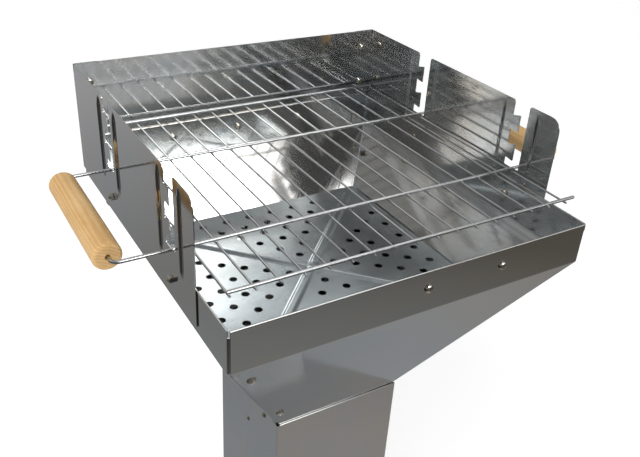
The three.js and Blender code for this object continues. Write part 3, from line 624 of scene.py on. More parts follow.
def panel_mesh(own_line, own_corners, cross_line, turn):
    """Sheet and hem of one panel as one mesh."""
    sheet_points, sheet_faces = panel_sheet(own_line, own_corners, cross_line, turn)
    wall = thickened(mesh_from(sheet_points, [sheet_faces]))
    rod_points, rod_faces = hem_rod(own_line[0, 0], cross_line[0, 0], turn)
    rod = mesh_from(rod_points, rod_faces)
    work = bmesh.new()
    work.from_mesh(wall)
    work.from_mesh(rod)
    bmesh.ops.recalc_face_normals(work, faces=work.faces)
    work.to_mesh(wall)
    work.free()
    return wall


panels = [("rear", end_line, end_corners, side_line, 0.0, polished_across),
          ("left", side_line, side_corners, end_line, math.pi / 2, polished_deep),
          ("front", end_line, end_corners, side_line, math.pi, polished_across),
          ("right", side_line, side_corners, end_line, -math.pi / 2, polished_deep)]
for side, own_line, own_corners, cross_line, turn, finish in panels:
    name = f"bowl_{side}_panel"
    panel = panel_mesh(own_line, own_corners, cross_line, turn)
    piece(name + "_sheet", panel, "stand", finish, "mirror_steel", name, angle=30)
print(len(panels), "bowl panels bent")

# %% [markdown]
# The side guards are the piece that a maker would show first. Each starts as a tall plate whose
# top edge is cut by two notches. The notches hold the grid's handle wires: hooked tabs on their
# rear edge give two more heights. Beside each notch edge a bead is pressed outwards to stiffen
# the plate, and at the rear a flange is bent inwards to bolt to the rear guard.

# %% The guard's outline
guard_outer = half_width + sheet + clearance
guard_end = half_depth + 2 * (sheet + clearance)
guard_setback = 68 * MM
guard_start = guard_setback - half_depth
notch_spacing, notch_width, notch_floor = 190.8 * MM, 25 * MM, fold + 62 * MM
notch_centres = [-notch_spacing / 2, notch_spacing / 2]
tab_tops = [fold + 89.2 * MM, fold + 126.4 * MM]
tab_reach, tab_root, tab_tip, tab_rise = 12.8 * MM, 17 * MM, 22.4 * MM, 3.6 * MM
mouth_round, floor_round = 4 * MM, 2.5 * MM
tab_rounds = [1.6 * MM, 1.2 * MM, 1.4 * MM, 2.2 * MM]
rear_flange, flange_bend = 32 * MM, 2 * MM
slit_width, slit_depth = 1.6 * MM, 12 * MM
foot_round, fin_round, slit_round, flange_round = 1 * MM, 17 * MM, 0.7 * MM, 3 * MM


def notch(centre):
    """Corners and roundings of one notch, from its front edge down, along and up its tabs."""
    front, rear = centre - notch_width / 2, centre + notch_width / 2
    tip = rear - tab_reach
    corners = [(front, guard_top), (front, notch_floor), (rear, notch_floor)]
    radii = [mouth_round, floor_round, floor_round]
    for top in tab_tops:
        corners += [(rear, top - tab_root), (tip, top + tab_rise - tab_tip),
                    (tip, top + tab_rise), (rear, top)]
        radii += tab_rounds
    return corners + [(rear, guard_top)], radii + [mouth_round]


corner_line = guard_end - flange_bend
slit_end = corner_line - sheet
bend_length = math.pi / 2 * flange_bend
flange_end = corner_line + bend_length + rear_flange - flange_bend
corners, radii = [(guard_start, guard_bottom), (guard_start, guard_top)], [foot_round, fin_round]
for centre in notch_centres:
    notch_corners, notch_radii = notch(centre)
    corners += notch_corners
    radii += notch_radii
corners += [(slit_end - slit_width, guard_top), (slit_end - slit_width, guard_top - slit_depth),
            (slit_end, guard_top - slit_depth), (slit_end, guard_top),
            (flange_end, guard_top), (flange_end, guard_bottom)]
radii += [0, slit_round, slit_round, 0, flange_round, flange_round]
guard_outline = rounded(corners, radii)[::-1]
print("guard outline of", len(guard_outline), "points")

# %% [markdown]
# The beads are pressed into the flat blank before it is bent. A bead is a height over the sheet:
# across it the height is a parabola, and along it the bead narrows and sinks to a point at both
# ends, as a press tool leaves it. Extra points are laid over each bead so that the sheet can
# follow it.

# %% Beads and the bent flange
bead_half, bead_proud, bead_inset = 2.8 * MM, 2.4 * MM, 15.2 * MM
bead_bottom, bead_top = fold + 40 * MM, guard_top - 4 * MM
bead_places = [centre + side * (notch_width / 2 + bead_inset)
               for centre in notch_centres for side in (-1, 1)]


def bead_height(s, z):
    """Proud of the sheet by p * sqrt(taper) * (1 - (d / w)^2), where d is the distance from the
    bead's line and w its half width. taper is 1 along the bead and falls to 0 at its ends, and
    w narrows with it."""
    height = np.zeros_like(s)
    for place in bead_places:
        from_end = np.minimum(z - bead_bottom, bead_top - z)
        taper = np.clip(from_end / (4 * bead_half), 0, 1)
        width = bead_half * np.sqrt(taper * (2 - taper)) + tiny
        share = np.clip(1 - ((s - place) / width) ** 2, 0, 1)
        height = np.maximum(height, bead_proud * taper ** 0.5 * share)
    return height


bead_margin, bend_overrun = 1 * MM, 5 * MM
across = np.linspace(-1.25, 1.25, 17) * bead_half
upward = np.linspace(bead_bottom - bead_margin, bead_top + bead_margin, 60)
bead_points = [np.stack(np.meshgrid(place + across, upward), axis=-1).reshape(-1, 2)
               for place in bead_places]
bend_lines = [[(place, guard_bottom - bend_overrun), (place, guard_top + bend_overrun)]
              for place in corner_line + np.linspace(0, 1, 7) * bend_length]


def bent_guard(s, z):
    """A flat place (s, z) on the finished guard: s runs along Y up to the corner, then round a
    quarter circle, then along -X behind the rear guard."""
    turn = np.clip((s - corner_line) / flange_bend, 0, math.pi / 2)
    past = np.clip(s - corner_line - bend_length, 0, None)
    x = guard_outer - flange_bend * (1 - np.cos(turn)) - past + bead_height(s, z)
    y = np.minimum(s, corner_line) + flange_bend * np.sin(turn)
    return np.stack([x, y, z], axis=-1)


guard_blank, guard_triangles = blank(guard_outline, extra=np.concatenate(bead_points), lines=bend_lines)
guard_points = bent_guard(guard_blank[:, 0], guard_blank[:, 1])
for name, sign in (("right_guard", 1), ("left_guard", -1)):
    guard = mesh_from(guard_points * np.array([sign, 1, 1]), [guard_triangles[:, ::sign]])
    piece(name + "_sheet", thickened(guard), "stand", guard_deep, "mirror_steel", name, angle=25)
print("guards of", len(guard_triangles), "triangles a side")

# %% [markdown]
# The coal plate is a shallow upturned lid: a flat top with rows of round holes in four sectors,
# a raised rib along each diagonal and a narrow rim turned down. The holes follow the measured
# plate. The ribs are a height over the plate again: a flat top with a soft slope on either side,
# which fades out before the corners.

# %% The coal plate
plate_low, plate_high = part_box("coal_plate")
plate_half = np.array([plate_high.x, plate_high.y])
rib_height, rib_half, rib_flank, rib_stop, rib_fade = 3.5 * MM, 7 * MM, 0.55, 16 * MM, 12 * MM
plate_top = plate_high.z - rib_height
rim_drop = plate_top - plate_low.z
rim_round, plate_corner = 1.5 * MM, 3 * MM
first_row, row_pitch, hole_pitch, hole_radius = 32.5 * MM, 23.5 * MM, 35 * MM, 5.2 * MM
hole_margin, row_count, sector_count = 0.4 * MM, 6, 4

row, column = np.meshgrid(np.arange(row_count), np.arange(row_count), indexing="ij")
row, column = row[column <= row], column[column <= row]
out, along = first_row + row * row_pitch, (column - row / 2) * hole_pitch
turn = np.arange(sector_count)[:, None] * 2 * math.pi / sector_count
hole_centres = np.stack([out * np.cos(turn) - along * np.sin(turn),
                         out * np.sin(turn) + along * np.cos(turn)], axis=-1).reshape(-1, 2)
plate_holes = list(circles(hole_centres, hole_radius, 20))

diagonal = plate_half / np.linalg.norm(plate_half)
rib_reach = np.linalg.norm(plate_half) - rib_stop
ribs = [(line, np.array([-line[1], line[0]])) for line in (diagonal, diagonal * np.array([1, -1]))]


def eased(t):
    """From 0 to 1 with a level start and end: t^2 (3 - 2t)."""
    return t * t * (3 - 2 * t)


def rib_height_at(points):
    """A flat top h high with an eased slope on either side, which rises from the rib's edge over
    the flank's share of its half width. The rib fades out before the corners."""
    height = np.zeros(len(points))
    for line, aside in ribs:
        flank = np.clip((1 - np.abs(points @ aside) / rib_half) / rib_flank, 0, 1)
        fade = np.clip((rib_reach - np.abs(points @ line)) / rib_fade, 0, 1)
        height = np.maximum(height, rib_height * eased(flank) * eased(fade))
    return height


rib_along = np.linspace(-rib_reach, rib_reach, 90)[:, None, None]
rib_across = np.linspace(-1.15, 1.15, 21)[None, :, None] * rib_half
rib_points = np.concatenate([(rib_along * line + rib_across * aside).reshape(-1, 2)
                             for line, aside in ribs])
clear_of_holes = (np.linalg.norm(rib_points[:, None] - hole_centres[None], axis=-1)
                  > hole_radius + hole_margin).all(axis=1)
plate_inner = plate_half - rim_round
plate_outline = rounded_rectangle(-plate_inner, plate_inner, plate_corner)
plate_blank, plate_triangles = blank(plate_outline, plate_holes, rib_points[clear_of_holes])
plate_points = np.column_stack([plate_blank, plate_top + rib_height_at(plate_blank)])
print("coal plate with", len(plate_holes), "holes,", len(plate_triangles), "triangles")

# %% [markdown]
# Its rim is one more surface of two parameters: the outline carried down round a small bend. Ring
# by ring the outline grows by the bend's width and sinks by its height.

# %% The coal plate's rim
from_rim, from_top = quarter(rim_round, 6)
grow, sink = np.append(rim_round - from_rim, rim_round), np.append(from_top, rim_drop)
rim_rings = np.stack([
    np.column_stack([rounded_rectangle(-plate_inner - g, plate_inner + g, plate_corner + g),
                     np.full(len(plate_outline), plate_top - d)])
    for g, d in zip(grow, sink)])
rim_faces = quads(len(grow), len(plate_outline))[:, ::-1] + len(plate_points)
plate_mesh = mesh_from(np.concatenate([plate_points, rim_rings.reshape(-1, 3)]),
                       [plate_triangles, rim_faces])


def merged(mesh, distance=0.02 * MM):
    """The same mesh with points closer than the distance made one."""
    work = bmesh.new()
    work.from_mesh(mesh)
    bmesh.ops.remove_doubles(work, verts=work.verts, dist=distance)
    work.to_mesh(mesh)
    work.free()
    return mesh


piece("coal_plate_sheet", thickened(merged(plate_mesh)), "coal_plate", zinc_plate, "galvanised",
      "coal_plate", angle=30)
print("coal plate rim of", len(rim_faces), "quads")

# %% [markdown]
# The grid is welded from straight wire. A wire is a circle carried along a path: at each point of
# the path the circle lies square to the way ahead. All the thin bars are alike, so one bar's
# points are worked out once and added to the places of all bars in one array.

# %% Wires
def tube_points(path, radius, sides):
    """Rings square to a path in a level plane: centre + r * (side * cos a + up * sin a)."""
    path = np.asarray(path, dtype=float)
    ahead = np.gradient(path, axis=0)
    ahead /= np.linalg.norm(ahead, axis=1, keepdims=True)
    up = np.array([0.0, 0.0, 1.0])
    side = np.cross(ahead, up)
    angle = np.linspace(0, 2 * np.pi, sides, endpoint=False)[None, :, None]
    radius = np.broadcast_to(radius, len(path))[:, None, None]
    return path[:, None] + radius * (side[:, None] * np.cos(angle) + up * np.sin(angle))


def closed_tube(points):
    """Points and faces of a tube: quads along it and a fan at each end."""
    rings, sides, _ = points.shape
    flat = points.reshape(-1, 3)
    ends = np.stack([points[0].mean(axis=0), points[-1].mean(axis=0)])
    number = np.arange(sides)
    following = (number + 1) % sides
    first = np.stack([np.full(sides, rings * sides), following, number], axis=1)
    base = (rings - 1) * sides
    last = np.stack([np.full(sides, rings * sides + 1), base + number, base + following], axis=1)
    return np.concatenate([flat, ends]), [quads(rings, sides), np.concatenate([first, last])]


def copies(points, faces, places):
    """The same body at many places: its points plus each place, its faces renumbered."""
    count = len(points)
    moved = points[None] + np.asarray(places, dtype=float)[:, None]
    step = np.arange(len(moved))[:, None, None] * count
    groups = [(group[None] + step).reshape(-1, group.shape[1]) for group in faces]
    return moved.reshape(-1, 3), groups


def straight_wire(start, end, radius, sides):
    """A straight wire whose cut ends are a little rounded: near them its radius is a share of the
    full one."""
    start, end = np.asarray(start, dtype=float), np.asarray(end, dtype=float)
    length = np.linalg.norm(end - start)
    cut = np.array([0, 0.15, 0.5]) * radius
    along = np.concatenate([cut, length - cut[::-1]]) / length
    width = np.array([0.7, 0.92, 1, 1, 0.92, 0.7]) * radius
    return closed_tube(tube_points(start + along[:, None] * (end - start), width, sides))


def grid_piece(name, form, *nodes, angle=50):
    """Points and faces as a piece of plated wire that rides on the grid."""
    piece(name, mesh_from(*form), "grid", plated_wire, "chrome_wire", *nodes, angle=angle)


print("wire helpers ready")

# %% [markdown]
# The measured grid says where the bars lie: its box gives the first bar and how far the bars
# reach, and the other bars follow at a given pitch. The two cross rails lie on top of the bars
# near their ends. Each crossing has a small weld bead.

# %% The cooking grid
wire_radius, bar_radius, bar_count, bar_pitch = 2 * MM, 1.25 * MM, 17, 26.2 * MM
grid_low, grid_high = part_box("cooking_grid")
rail_over, rail_tail, rail_drop = 2 * MM, 15 * MM, 0.8 * MM
bar_z = grid_low.z + bar_radius
wire_z = bar_z + bar_radius + clearance + wire_radius
rail_z = wire_z - rail_drop
first_bar = grid_low.x + rail_over
bar_x = first_bar + bar_pitch * np.arange(bar_count)
front_rail_y, rear_rail_y = 36 * MM - half_depth, 440 * MM - half_depth
front_wire_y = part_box("front_handle_wire")[0].y + wire_radius
rear_wire_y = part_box("rear_handle_wire")[1].y - wire_radius

bar = straight_wire((0, grid_low.y, bar_z), (0, grid_high.y, bar_z), bar_radius, 12)
bar_places = np.column_stack([bar_x, np.zeros(bar_count), np.zeros(bar_count)])
grid_piece("grid_bars", copies(*bar, bar_places), "cooking_grid")

for name, y, tail in (("grid_front_rail", front_rail_y, rail_tail),
                      ("grid_rear_rail", rear_rail_y, rail_over)):
    left, right = (first_bar - rail_over, y, rail_z), (bar_x[-1] + tail, y, rail_z)
    grid_piece(name, straight_wire(left, right, wire_radius, 16), "cooking_grid")

weld_radius, weld_half = 2.1 * MM, 1.1 * MM
angle = np.linspace(0.05, math.pi - 0.05, 7)
weld = closed_tube(revolved(np.column_stack([np.sin(angle) * weld_radius, -np.cos(angle) * weld_half]), 10))
weld_y, weld_x = np.meshgrid([front_rail_y, front_wire_y, rear_wire_y, rear_rail_y], bar_x)
weld_places = np.stack([weld_x, weld_y, np.full_like(weld_x, bar_z + bar_radius)], axis=-1).reshape(-1, 3)
grid_piece("grid_welds", copies(*weld, weld_places), angle=60)
print("grid:", bar_count, "bars,", len(weld_places), "welds")

# %% [markdown]
# A handle wire is bent once at each end: round towards the other wire and into the dowel. Its
# path is a list of straight runs with a quarter circle at each bend.

# %% Handle wires
wire_bend, end_gap, grip = 8 * MM, 4 * MM, 20 * MM
wire_low, wire_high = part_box("front_handle_wire")
handle_reach = (wire_high.x - wire_low.x) / 2 - wire_radius
grid_shift = (wire_high.x + wire_low.x) / 2


def handle_wire_path(y, towards):
    """From one dowel across to the other; towards is +1 where the ends turn to the rear."""
    from_tip, bend_y = quarter(wire_bend, 10)
    bend_x = handle_reach - from_tip
    tip = wire_bend + end_gap + grip
    x = np.concatenate([[-handle_reach], -bend_x[::-1], bend_x, [handle_reach]])
    offset = np.concatenate([[tip], bend_y[::-1], bend_y, [tip]])
    return np.column_stack([grid_shift + x, y + towards * offset, np.full(len(x), wire_z)])


for name, y, towards in (("front_handle_wire", front_wire_y, 1), ("rear_handle_wire", rear_wire_y, -1)):
    wire = closed_tube(tube_points(handle_wire_path(y, towards), wire_radius, 16))
    grid_piece(name + "_bent", wire, name)
print("handle wires", 2 * handle_reach, "wide")

# %% [markdown]
# The handles are short dowels with rounded ends and a bore for the wire at each end. A turned
# piece is a profile carried round its axis: here from the bottom of one bore, out over the end,
# along the dowel and back into the other bore.

# %% Handles
dowel_round, bore_radius, bore_depth, bore_lip = 4 * MM, 2.5 * MM, 26 * MM, 0.6 * MM
by_axis = 0.0002 * MM


def dowel_profile(half, radius):
    """(radius, height) from one bore's floor to the other's, rounded at the ends."""
    from_side, from_end = quarter(dowel_round, 12)
    upper = np.column_stack([
        np.concatenate([[by_axis, bore_radius, bore_radius, bore_radius + bore_lip], radius - from_side]),
        np.concatenate([[half - bore_depth] * 2, [half - bore_lip, half], half - from_end]),
    ])
    return np.concatenate([upper * np.array([1, -1]), upper[::-1]])


for name in ("left_handle", "right_handle"):
    low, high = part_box(name)
    centre = (np.array(low) + np.array(high)) / 2
    half, radius = (high.y - low.y) / 2, (high.z - low.z) / 2
    lengthwise = revolved(dowel_profile(half, radius), 64)[..., [1, 2, 0]]
    dowel = mesh_from(*closed_tube(lengthwise + centre))
    piece(name + "_dowel", dowel, name, beech, "beech", name, angle=40)
print("handles", 2 * half, "long")

# %% [markdown]
# A bolt has a domed head with a cross recess, a threaded shank and a hexagon nut. Its head is a
# surface of angle and radius. Its height falls away like a flat dome, and the recess is cut in
# where a place lies close to either of two crossed lines.

# %% Bolt, screw and nut shapes
def dome_head(radius, height, recess_width, recess_reach, recess_depth):
    """Height 0.45 h + 0.55 h * (1 - (r / R)^2.6) over the seat, less the cross recess."""
    share = np.array([1.0, 1.0, 0.985, 0.93, 0.84, 0.72, 0.6, 0.5, 0.42, 0.34, 0.26, 0.18, 0.1, 0.02])
    angle = np.linspace(0, 2 * np.pi, 48, endpoint=False)
    r = radius * share[:, None]
    x, y = r * np.cos(angle), r * np.sin(angle)
    top = height * (0.45 + 0.55 * (1 - (r / radius) ** 2.6)) + 0 * angle
    near = np.minimum(np.abs(x), np.abs(y))
    wall = np.clip((recess_width - near) / (0.25 * recess_width), 0, 1)
    wall = wall * np.clip((recess_reach - np.hypot(x, y)) / (0.2 * recess_reach), 0, 1)
    z = top - recess_depth * wall
    z[0] = 0
    return np.stack([x, y, z], axis=-1)


def hexagon_nut(across_corners, top, bottom, bore):
    """Rings of a nut: a six-sided ring whose corners are trimmed by a cone at both faces."""
    angle = np.linspace(0, 2 * np.pi, 24, endpoint=False)
    chamfer, trim_share = 0.5 * MM, 1.02
    apothem = across_corners / 2 * math.cos(math.pi / 6)
    flat = apothem / np.cos((angle + math.pi / 6) % (math.pi / 3) - math.pi / 6)
    trim = np.minimum(flat, apothem * trim_share)
    radii = [bore + 0 * angle, trim, flat, flat, trim, bore + 0 * angle]
    heights = [top, top, top - chamfer, bottom + chamfer, bottom, bottom]
    return np.stack([np.stack([r * np.cos(angle), r * np.sin(angle), z + 0 * angle], axis=-1)
                     for r, z in zip(radii, heights)])[::-1]


def threaded_shank(radius, top, end, pitch=0.8 * MM):
    """A shank whose radius is R at each crest of the thread and less in the groove half a pitch
    further on. Its end is narrower still."""
    groove_share, end_share = 0.88, 0.7
    steps = int(abs(top - end) / pitch * 2) + 2
    height = np.linspace(end, top, steps)
    swing = np.where(np.arange(steps) % 2 == 0, groove_share, 1.0)
    swing[0] = end_share
    return revolved(np.column_stack([radius * swing, height]), 16)


def fastener(*bodies):
    """Points and faces of a head, a shank and, on a bolt, a nut. They stand in the fastener's own
    frame with the head on +Z and the sheets' face at zero."""
    groups, faces, count = [], [], 0
    for body in bodies:
        points, body_faces = closed_tube(body)
        groups.append(points)
        faces += [group + count for group in body_faces]
        count += len(points)
    return np.concatenate(groups), faces


bolt_radius, bolt_past_nut = 2.5 * MM, 5.5 * MM
nut_across, nut_height, nut_bore = 9.2 * MM, 4 * MM, 2.4 * MM
screw_radius, screw_end, screw_pitch = 1.7 * MM, -8 * MM, 1.1 * MM
bolt_head, screw_head = 3 * MM, 2 * MM
one_sheet, two_sheets = sheet, 2 * sheet + clearance
off_the_sheet = np.array([0, 0, clearance])


def shank_and_nut(top, stack):
    """A bolt's shank from its top, and the nut tightened under a stack of sheets."""
    nut_top = -(stack + clearance)
    return (threaded_shank(bolt_radius, top, nut_top - bolt_past_nut),
            hexagon_nut(nut_across, nut_top, nut_top - nut_height, nut_bore))


bolt_dome = off_the_sheet + dome_head(
    4.8 * MM, bolt_head, recess_width=0.75 * MM, recess_reach=2.9 * MM, recess_depth=1.6 * MM)
screw_dome = off_the_sheet + dome_head(
    3.5 * MM, screw_head, recess_width=0.55 * MM, recess_reach=2.1 * MM, recess_depth=1.1 * MM)
bolt_shape = fastener(bolt_dome, *shank_and_nut(clearance, two_sheets))
short_bolt_shape = fastener(bolt_dome, *shank_and_nut(clearance, one_sheet))
screw_shape = fastener(screw_dome, threaded_shank(screw_radius, clearance, screw_end, screw_pitch))
print("bolt of", sum(len(group) for group in bolt_shape[1]), "faces")

# %% [markdown]
# Where each fastener sits is read from the measured one that it stands for. Its direction is
# known from the face that it clamps: the end of its head is the farthest point that way, and
# the middle of that end lies on its axis.

# %% Fasteners in their places
def square_turn(direction):
    """Rows are two directions across and the fastener's own direction."""
    ahead = np.asarray(direction, dtype=float)
    ahead /= np.linalg.norm(ahead)
    level = np.cross([0.0, 0.0, 1.0], ahead)
    level = np.array([1.0, 0.0, 0.0]) if np.linalg.norm(level) < 1e-6 else level
    level /= np.linalg.norm(level)
    return np.stack([level, np.cross(ahead, level), ahead])


def seat_of(node, direction, head_height):
    """The point on the fastener's axis where its head rests on the sheet."""
    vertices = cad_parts[node].data.vertices
    points = np.empty(len(vertices) * 3, dtype=np.float32)
    vertices.foreach_get("co", points)
    points = points.reshape(-1, 3).astype(float)
    ahead = direction / np.linalg.norm(direction)
    reach = points @ ahead
    crown = points[reach > reach.max() - crown_depth].round(6)
    middle = (crown.min(axis=0) + crown.max(axis=0)) / 2
    return middle - ahead * (head_height + clearance)


def put_fastener(node, direction, shape, head_height, body="stand"):
    """A fine fastener in place of a measured one, turned at random about its own axis."""
    direction = np.asarray(direction, dtype=float)
    points, faces = shape
    spin = chance.uniform(0, 2 * math.pi)
    twist = np.array([[math.cos(spin), math.sin(spin), 0], [-math.sin(spin), math.cos(spin), 0], [0, 0, 1]])
    placed = points @ twist @ square_turn(direction) + seat_of(node, direction, head_height)
    mesh = mesh_from(placed, faces)
    piece(node + "_fine", mesh, body, plated_bolt, "zinc_fastener", node, angle=28)


chance = np.random.default_rng(7)
crown_depth = 0.05 * MM
end_run, side_run = half_depth - neck_depth, half_width - neck_width
hip_direction = {
    "front_left": (0, -funnel_drop, -end_run), "rear_right": (0, funnel_drop, -end_run),
    "front_right": (funnel_drop, 0, -side_run), "rear_left": (-funnel_drop, 0, -side_run),
}
bolt, short_bolt, screw = (bolt_shape, bolt_head), (short_bolt_shape, bolt_head), (screw_shape, screw_head)
forward, up = (0, -1, 0), (0, 0, 1)
plan = []
for side, sign in (("left", -1), ("right", 1)):
    outward, inward = (sign, 0, 0), (-sign, 0, 0)
    for end in ("front", "rear"):
        corner = f"{end}_{side}"
        plan.append((f"{side}_guard_{end}_bolt", inward, *bolt))
        plan.append((f"base_{corner}_bolt", up, *bolt))
        plan.append((f"{side}_collar_{end}_screw", outward, *screw))
        for level in ("upper", "lower"):
            plan.append((f"{corner}_hip_{level}_bolt", hip_direction[corner], *bolt))
    for level in ("upper", "lower"):
        plan.append((f"rear_{side}_corner_{level}_bolt", forward, *bolt))
        plan.append((f"{side}_seam_{level}_screw", outward, *screw))
    plan.append((f"drawer_{side}_bolt", forward, *bolt, "ash_drawer"))
for place in ("left", "middle", "right"):
    plan.append((f"rear_wall_{place}_bolt", forward, *bolt))
for place in ("middle", "right"):
    plan.append((f"front_wall_{place}_bolt", forward, *short_bolt))
for entry in plan:
    put_fastener(*entry)
print(len(plan), "fasteners in place")

# %% [markdown]
# The base tray is pressed sheet: a flat top with soft edges, upright sides and a narrow return
# that lies on the floor. It is one profile carried round a rounded square.

# %% The base tray
tray_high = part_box("base_tray")[1]
tray_half, tray_corner, tray_round, tray_return = tray_high.x, 18 * MM, 4 * MM, 14 * MM
least_corner, corner_steps = 4 * MM, 12
ring_size = 4 * corner_steps
from_side, from_top = quarter(tray_round, 9)
from_floor, foot_inset = quarter(sheet, 5)
inset = np.concatenate([from_side, foot_inset, [tray_return]])
height = np.concatenate([tray_high.z - from_top, from_floor, [0.0]])
tray_rings = np.stack([
    np.column_stack([
        rounded_rectangle([i - tray_half] * 2, [tray_half - i] * 2, max(tray_corner - i, least_corner),
                          corner_steps),
        np.full(ring_size, z)])
    for i, z in zip(inset, height)])
top_centre = np.array([[0, 0, tray_high.z]])
number = np.arange(ring_size)
top_fan = np.stack([np.full(ring_size, len(inset) * ring_size), number, (number + 1) % ring_size], axis=1)
tray_mesh = mesh_from(np.concatenate([tray_rings.reshape(-1, 3), top_centre]),
                      [quads(len(inset), ring_size)[:, ::-1], top_fan])
piece("base_tray_sheet", thickened(tray_mesh), "stand", satin_steel, "satin_steel", "base_tray", angle=30)
print("base tray", 2 * tray_half, "square")

# %% [markdown]
# The ash drawer's front is a plate with five air slots. Its knob is a turned piece on a bolt: a
# foot, a neck, a rounded underside, a narrow rim and a low crown.

# %% The drawer's front and knob
front_low, front_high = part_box("drawer_front")
slot_count, slot_width, slot_pitch, slot_low, slot_high = 5, 6 * MM, 22 * MM, 90 * MM, 107 * MM
front_corner = 4 * MM
slot_centres = (np.arange(slot_count) - (slot_count - 1) / 2) * slot_pitch
slots = [rounded_rectangle((c - slot_width / 2, slot_low), (c + slot_width / 2, slot_high), slot_width / 2, 7)
         for c in slot_centres]
front_outline = rounded_rectangle((front_low.x, front_low.z), (front_high.x, front_high.z), front_corner)
front_blank, front_triangles = blank(front_outline, slots)
front_points = np.column_stack([front_blank[:, 0], np.full(len(front_blank), front_low.y), front_blank[:, 1]])
front_mesh = thickened(mesh_from(front_points, [front_triangles]))
piece("drawer_front_sheet", front_mesh, "ash_drawer", polished_across, "mirror_steel", "drawer_front",
      angle=30)

knob_low, knob_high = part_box("drawer_knob")
knob_radius = (knob_high.x - knob_low.x) / 2
knob_foot, knob_neck, foot_top, neck_top = 5.6 * MM, 5 * MM, 1 * MM, 7 * MM
under_round, rim_low, rim_high, crown_round, crown = 5 * MM, 12 * MM, 14 * MM, 4 * MM, 18.4 * MM
on_axis = 0.001 * MM
from_rim, upwards = quarter(under_round, 8)
from_crown, inwards = quarter(crown_round, 8)
knob_profile = np.concatenate([
    [(on_axis, clearance), (knob_foot, clearance), (knob_neck, foot_top), (knob_neck, neck_top)],
    np.column_stack([knob_radius - from_rim, rim_low - under_round + upwards]),
    np.column_stack([knob_radius - inwards, rim_high + crown_round - from_crown]),
    [(on_axis, crown)],
])
knob_points, knob_faces = fastener(revolved(knob_profile, 48), *shank_and_nut(foot_top, two_sheets))
knob_seat = np.array([0, front_low.y, (knob_low.z + knob_high.z) / 2])
knob_mesh = mesh_from(knob_points @ square_turn(forward) + knob_seat, knob_faces)
piece("drawer_knob_turned", knob_mesh, "ash_drawer", plated_bolt, "zinc_fastener", "drawer_knob", angle=40)
print("drawer front with", len(slots), "slots")

# %% [markdown]
# The picture was taken from the front left and a little above, with the column running out of the
# bottom edge. The camera's place and its three directions are written as measured from the
# picture's own perspective.

# %% The camera
camera_data = bpy.data.cameras.new("camera")
camera_data.lens = 43.1
camera_data.sensor_width = 36.0
camera_data.clip_start = 0.05
camera = added("camera", camera_data)
camera_place = Vector((-0.4342, -0.7038, 1.1619))
camera_right = Vector((0.8618, -0.5043, 0.0545)).normalized()
camera_ahead = Vector((0.4596, 0.7308, -0.5046)).normalized()
camera_up = camera_right.cross(camera_ahead)
turned_to = Matrix((camera_right, camera_up, -camera_ahead)).transposed().to_4x4()
turned_to.translation = camera_place
camera.matrix_world = turned_to
bpy.context.scene.camera = camera
print("camera at", tuple(round(c, 3) for c in camera.location))

# %% [markdown]
# Polished metal shows its surroundings, so the studio is most of its look. Paper and air are
# white to the eye. In reflections the floor is a grey that gives itself off, so that the grill's
# own shadow doesn't show in its faces. That grey is painted light and shade: its painted bounce
# light falls off within half a metre to a metre of the grill, its painted shade gets darker and
# browner towards the unlit front right and is darkest behind the camera, and it comes back
# behind the grill where the studio is lit.

# %% The floor
floor_finish = Finish("studio_floor")
path = floor_finish.node("ShaderNodeLightPath", output="Is Glossy Ray")
here = floor_finish.place()
floor_reach, floor_gap, paper_glow = 30.0, 0.2 * MM, 0.45
front_right, front_left = (0.53, -0.85, 0.0), (-0.64, -0.77, 0.0)
away = floor_finish.measure("LENGTH", here)
aside = floor_finish.measure("DOT_PRODUCT", here, front_left)
ahead = floor_finish.measure("DOT_PRODUCT", here, front_right)
ahead = ahead + floor_finish.noise(here, scale=1.1) * 0.2 - 0.1
# The glow's colour is painted light and shade on the floor: lighter near the grill, darker and browner to the
# front right, darkest behind the camera, and light again behind the grill.
painted_floor_light = floor_finish.blend(floor_finish.between(ahead, 0.2, 0.5), colour(148, 151, 154), colour(166, 161, 157))
for place, begins, full, shade in (
    (away, 0.4, 1.0, colour(133, 133, 131)),
    (ahead, 0.95, 1.55, colour(97, 93, 86)),
    (ahead, -1.1, -2.4, colour(170, 170, 173)),
    (aside, 0.75, 1.15, colour(58, 57, 56)),
):
    painted_floor_light = floor_finish.blend(floor_finish.between(place, begins, full), painted_floor_light, shade)
glow = floor_finish.node("ShaderNodeEmission", {}, {"Color": painted_floor_light, "Strength": 1.0})
paper = floor_finish.node("ShaderNodeBsdfDiffuse", {}, {"Color": colour(250, 250, 250)})
white = colour(255, 255, 255)
whitener = floor_finish.node("ShaderNodeEmission", {}, {"Color": white, "Strength": paper_glow})
lit_paper = floor_finish.node("ShaderNodeAddShader", {}, [paper, whitener])
seen = floor_finish.node("ShaderNodeMixShader", {}, [path, lit_paper, glow])
floor_finish.node("ShaderNodeOutputMaterial", {}, {"Surface": seen})
floor_points = np.array([(-1, -1, 0), (1, -1, 0), (1, 1, 0), (-1, 1, 0)]) * floor_reach
floor_mesh = mesh_from(floor_points - np.array([0, 0, floor_gap]), [np.array([[0, 1, 2, 3]])])
floor_mesh.materials.append(floor_finish.material)
floor = added("floor", floor_mesh)
print("floor laid")

# %% [markdown]
# Above the floor the room is a dim grey that gets lighter as it rises, with a round light right
# overhead. A window with leaning sides stands in front, a little to the right, and the sky is its
# bright core. Right of it the room is unlit, which gives the rear slope its edge between white
# and brown, and beyond that lie a dimmer window and a small bright one in panes. The space behind
# and at the rear left is softly lit, and a long light hangs high on the right. The wall behind
# the camera and a strip at the rear left are darker. Diffuse surfaces, such as the wood and the
# paper, get their light from the room and from one soft lamp that mirrors can't see.

# %% The studio's light
world = bpy.data.worlds.new("studio")
world.use_nodes = True
bpy.context.scene.world = world
studio = Finish("studio", world.node_tree)
towards = studio.node("ShaderNodeTexCoord", output="Generated")


def facing(direction):
    """How much of the way looked at points along a direction."""
    return studio.measure("DOT_PRODUCT", towards, direction)


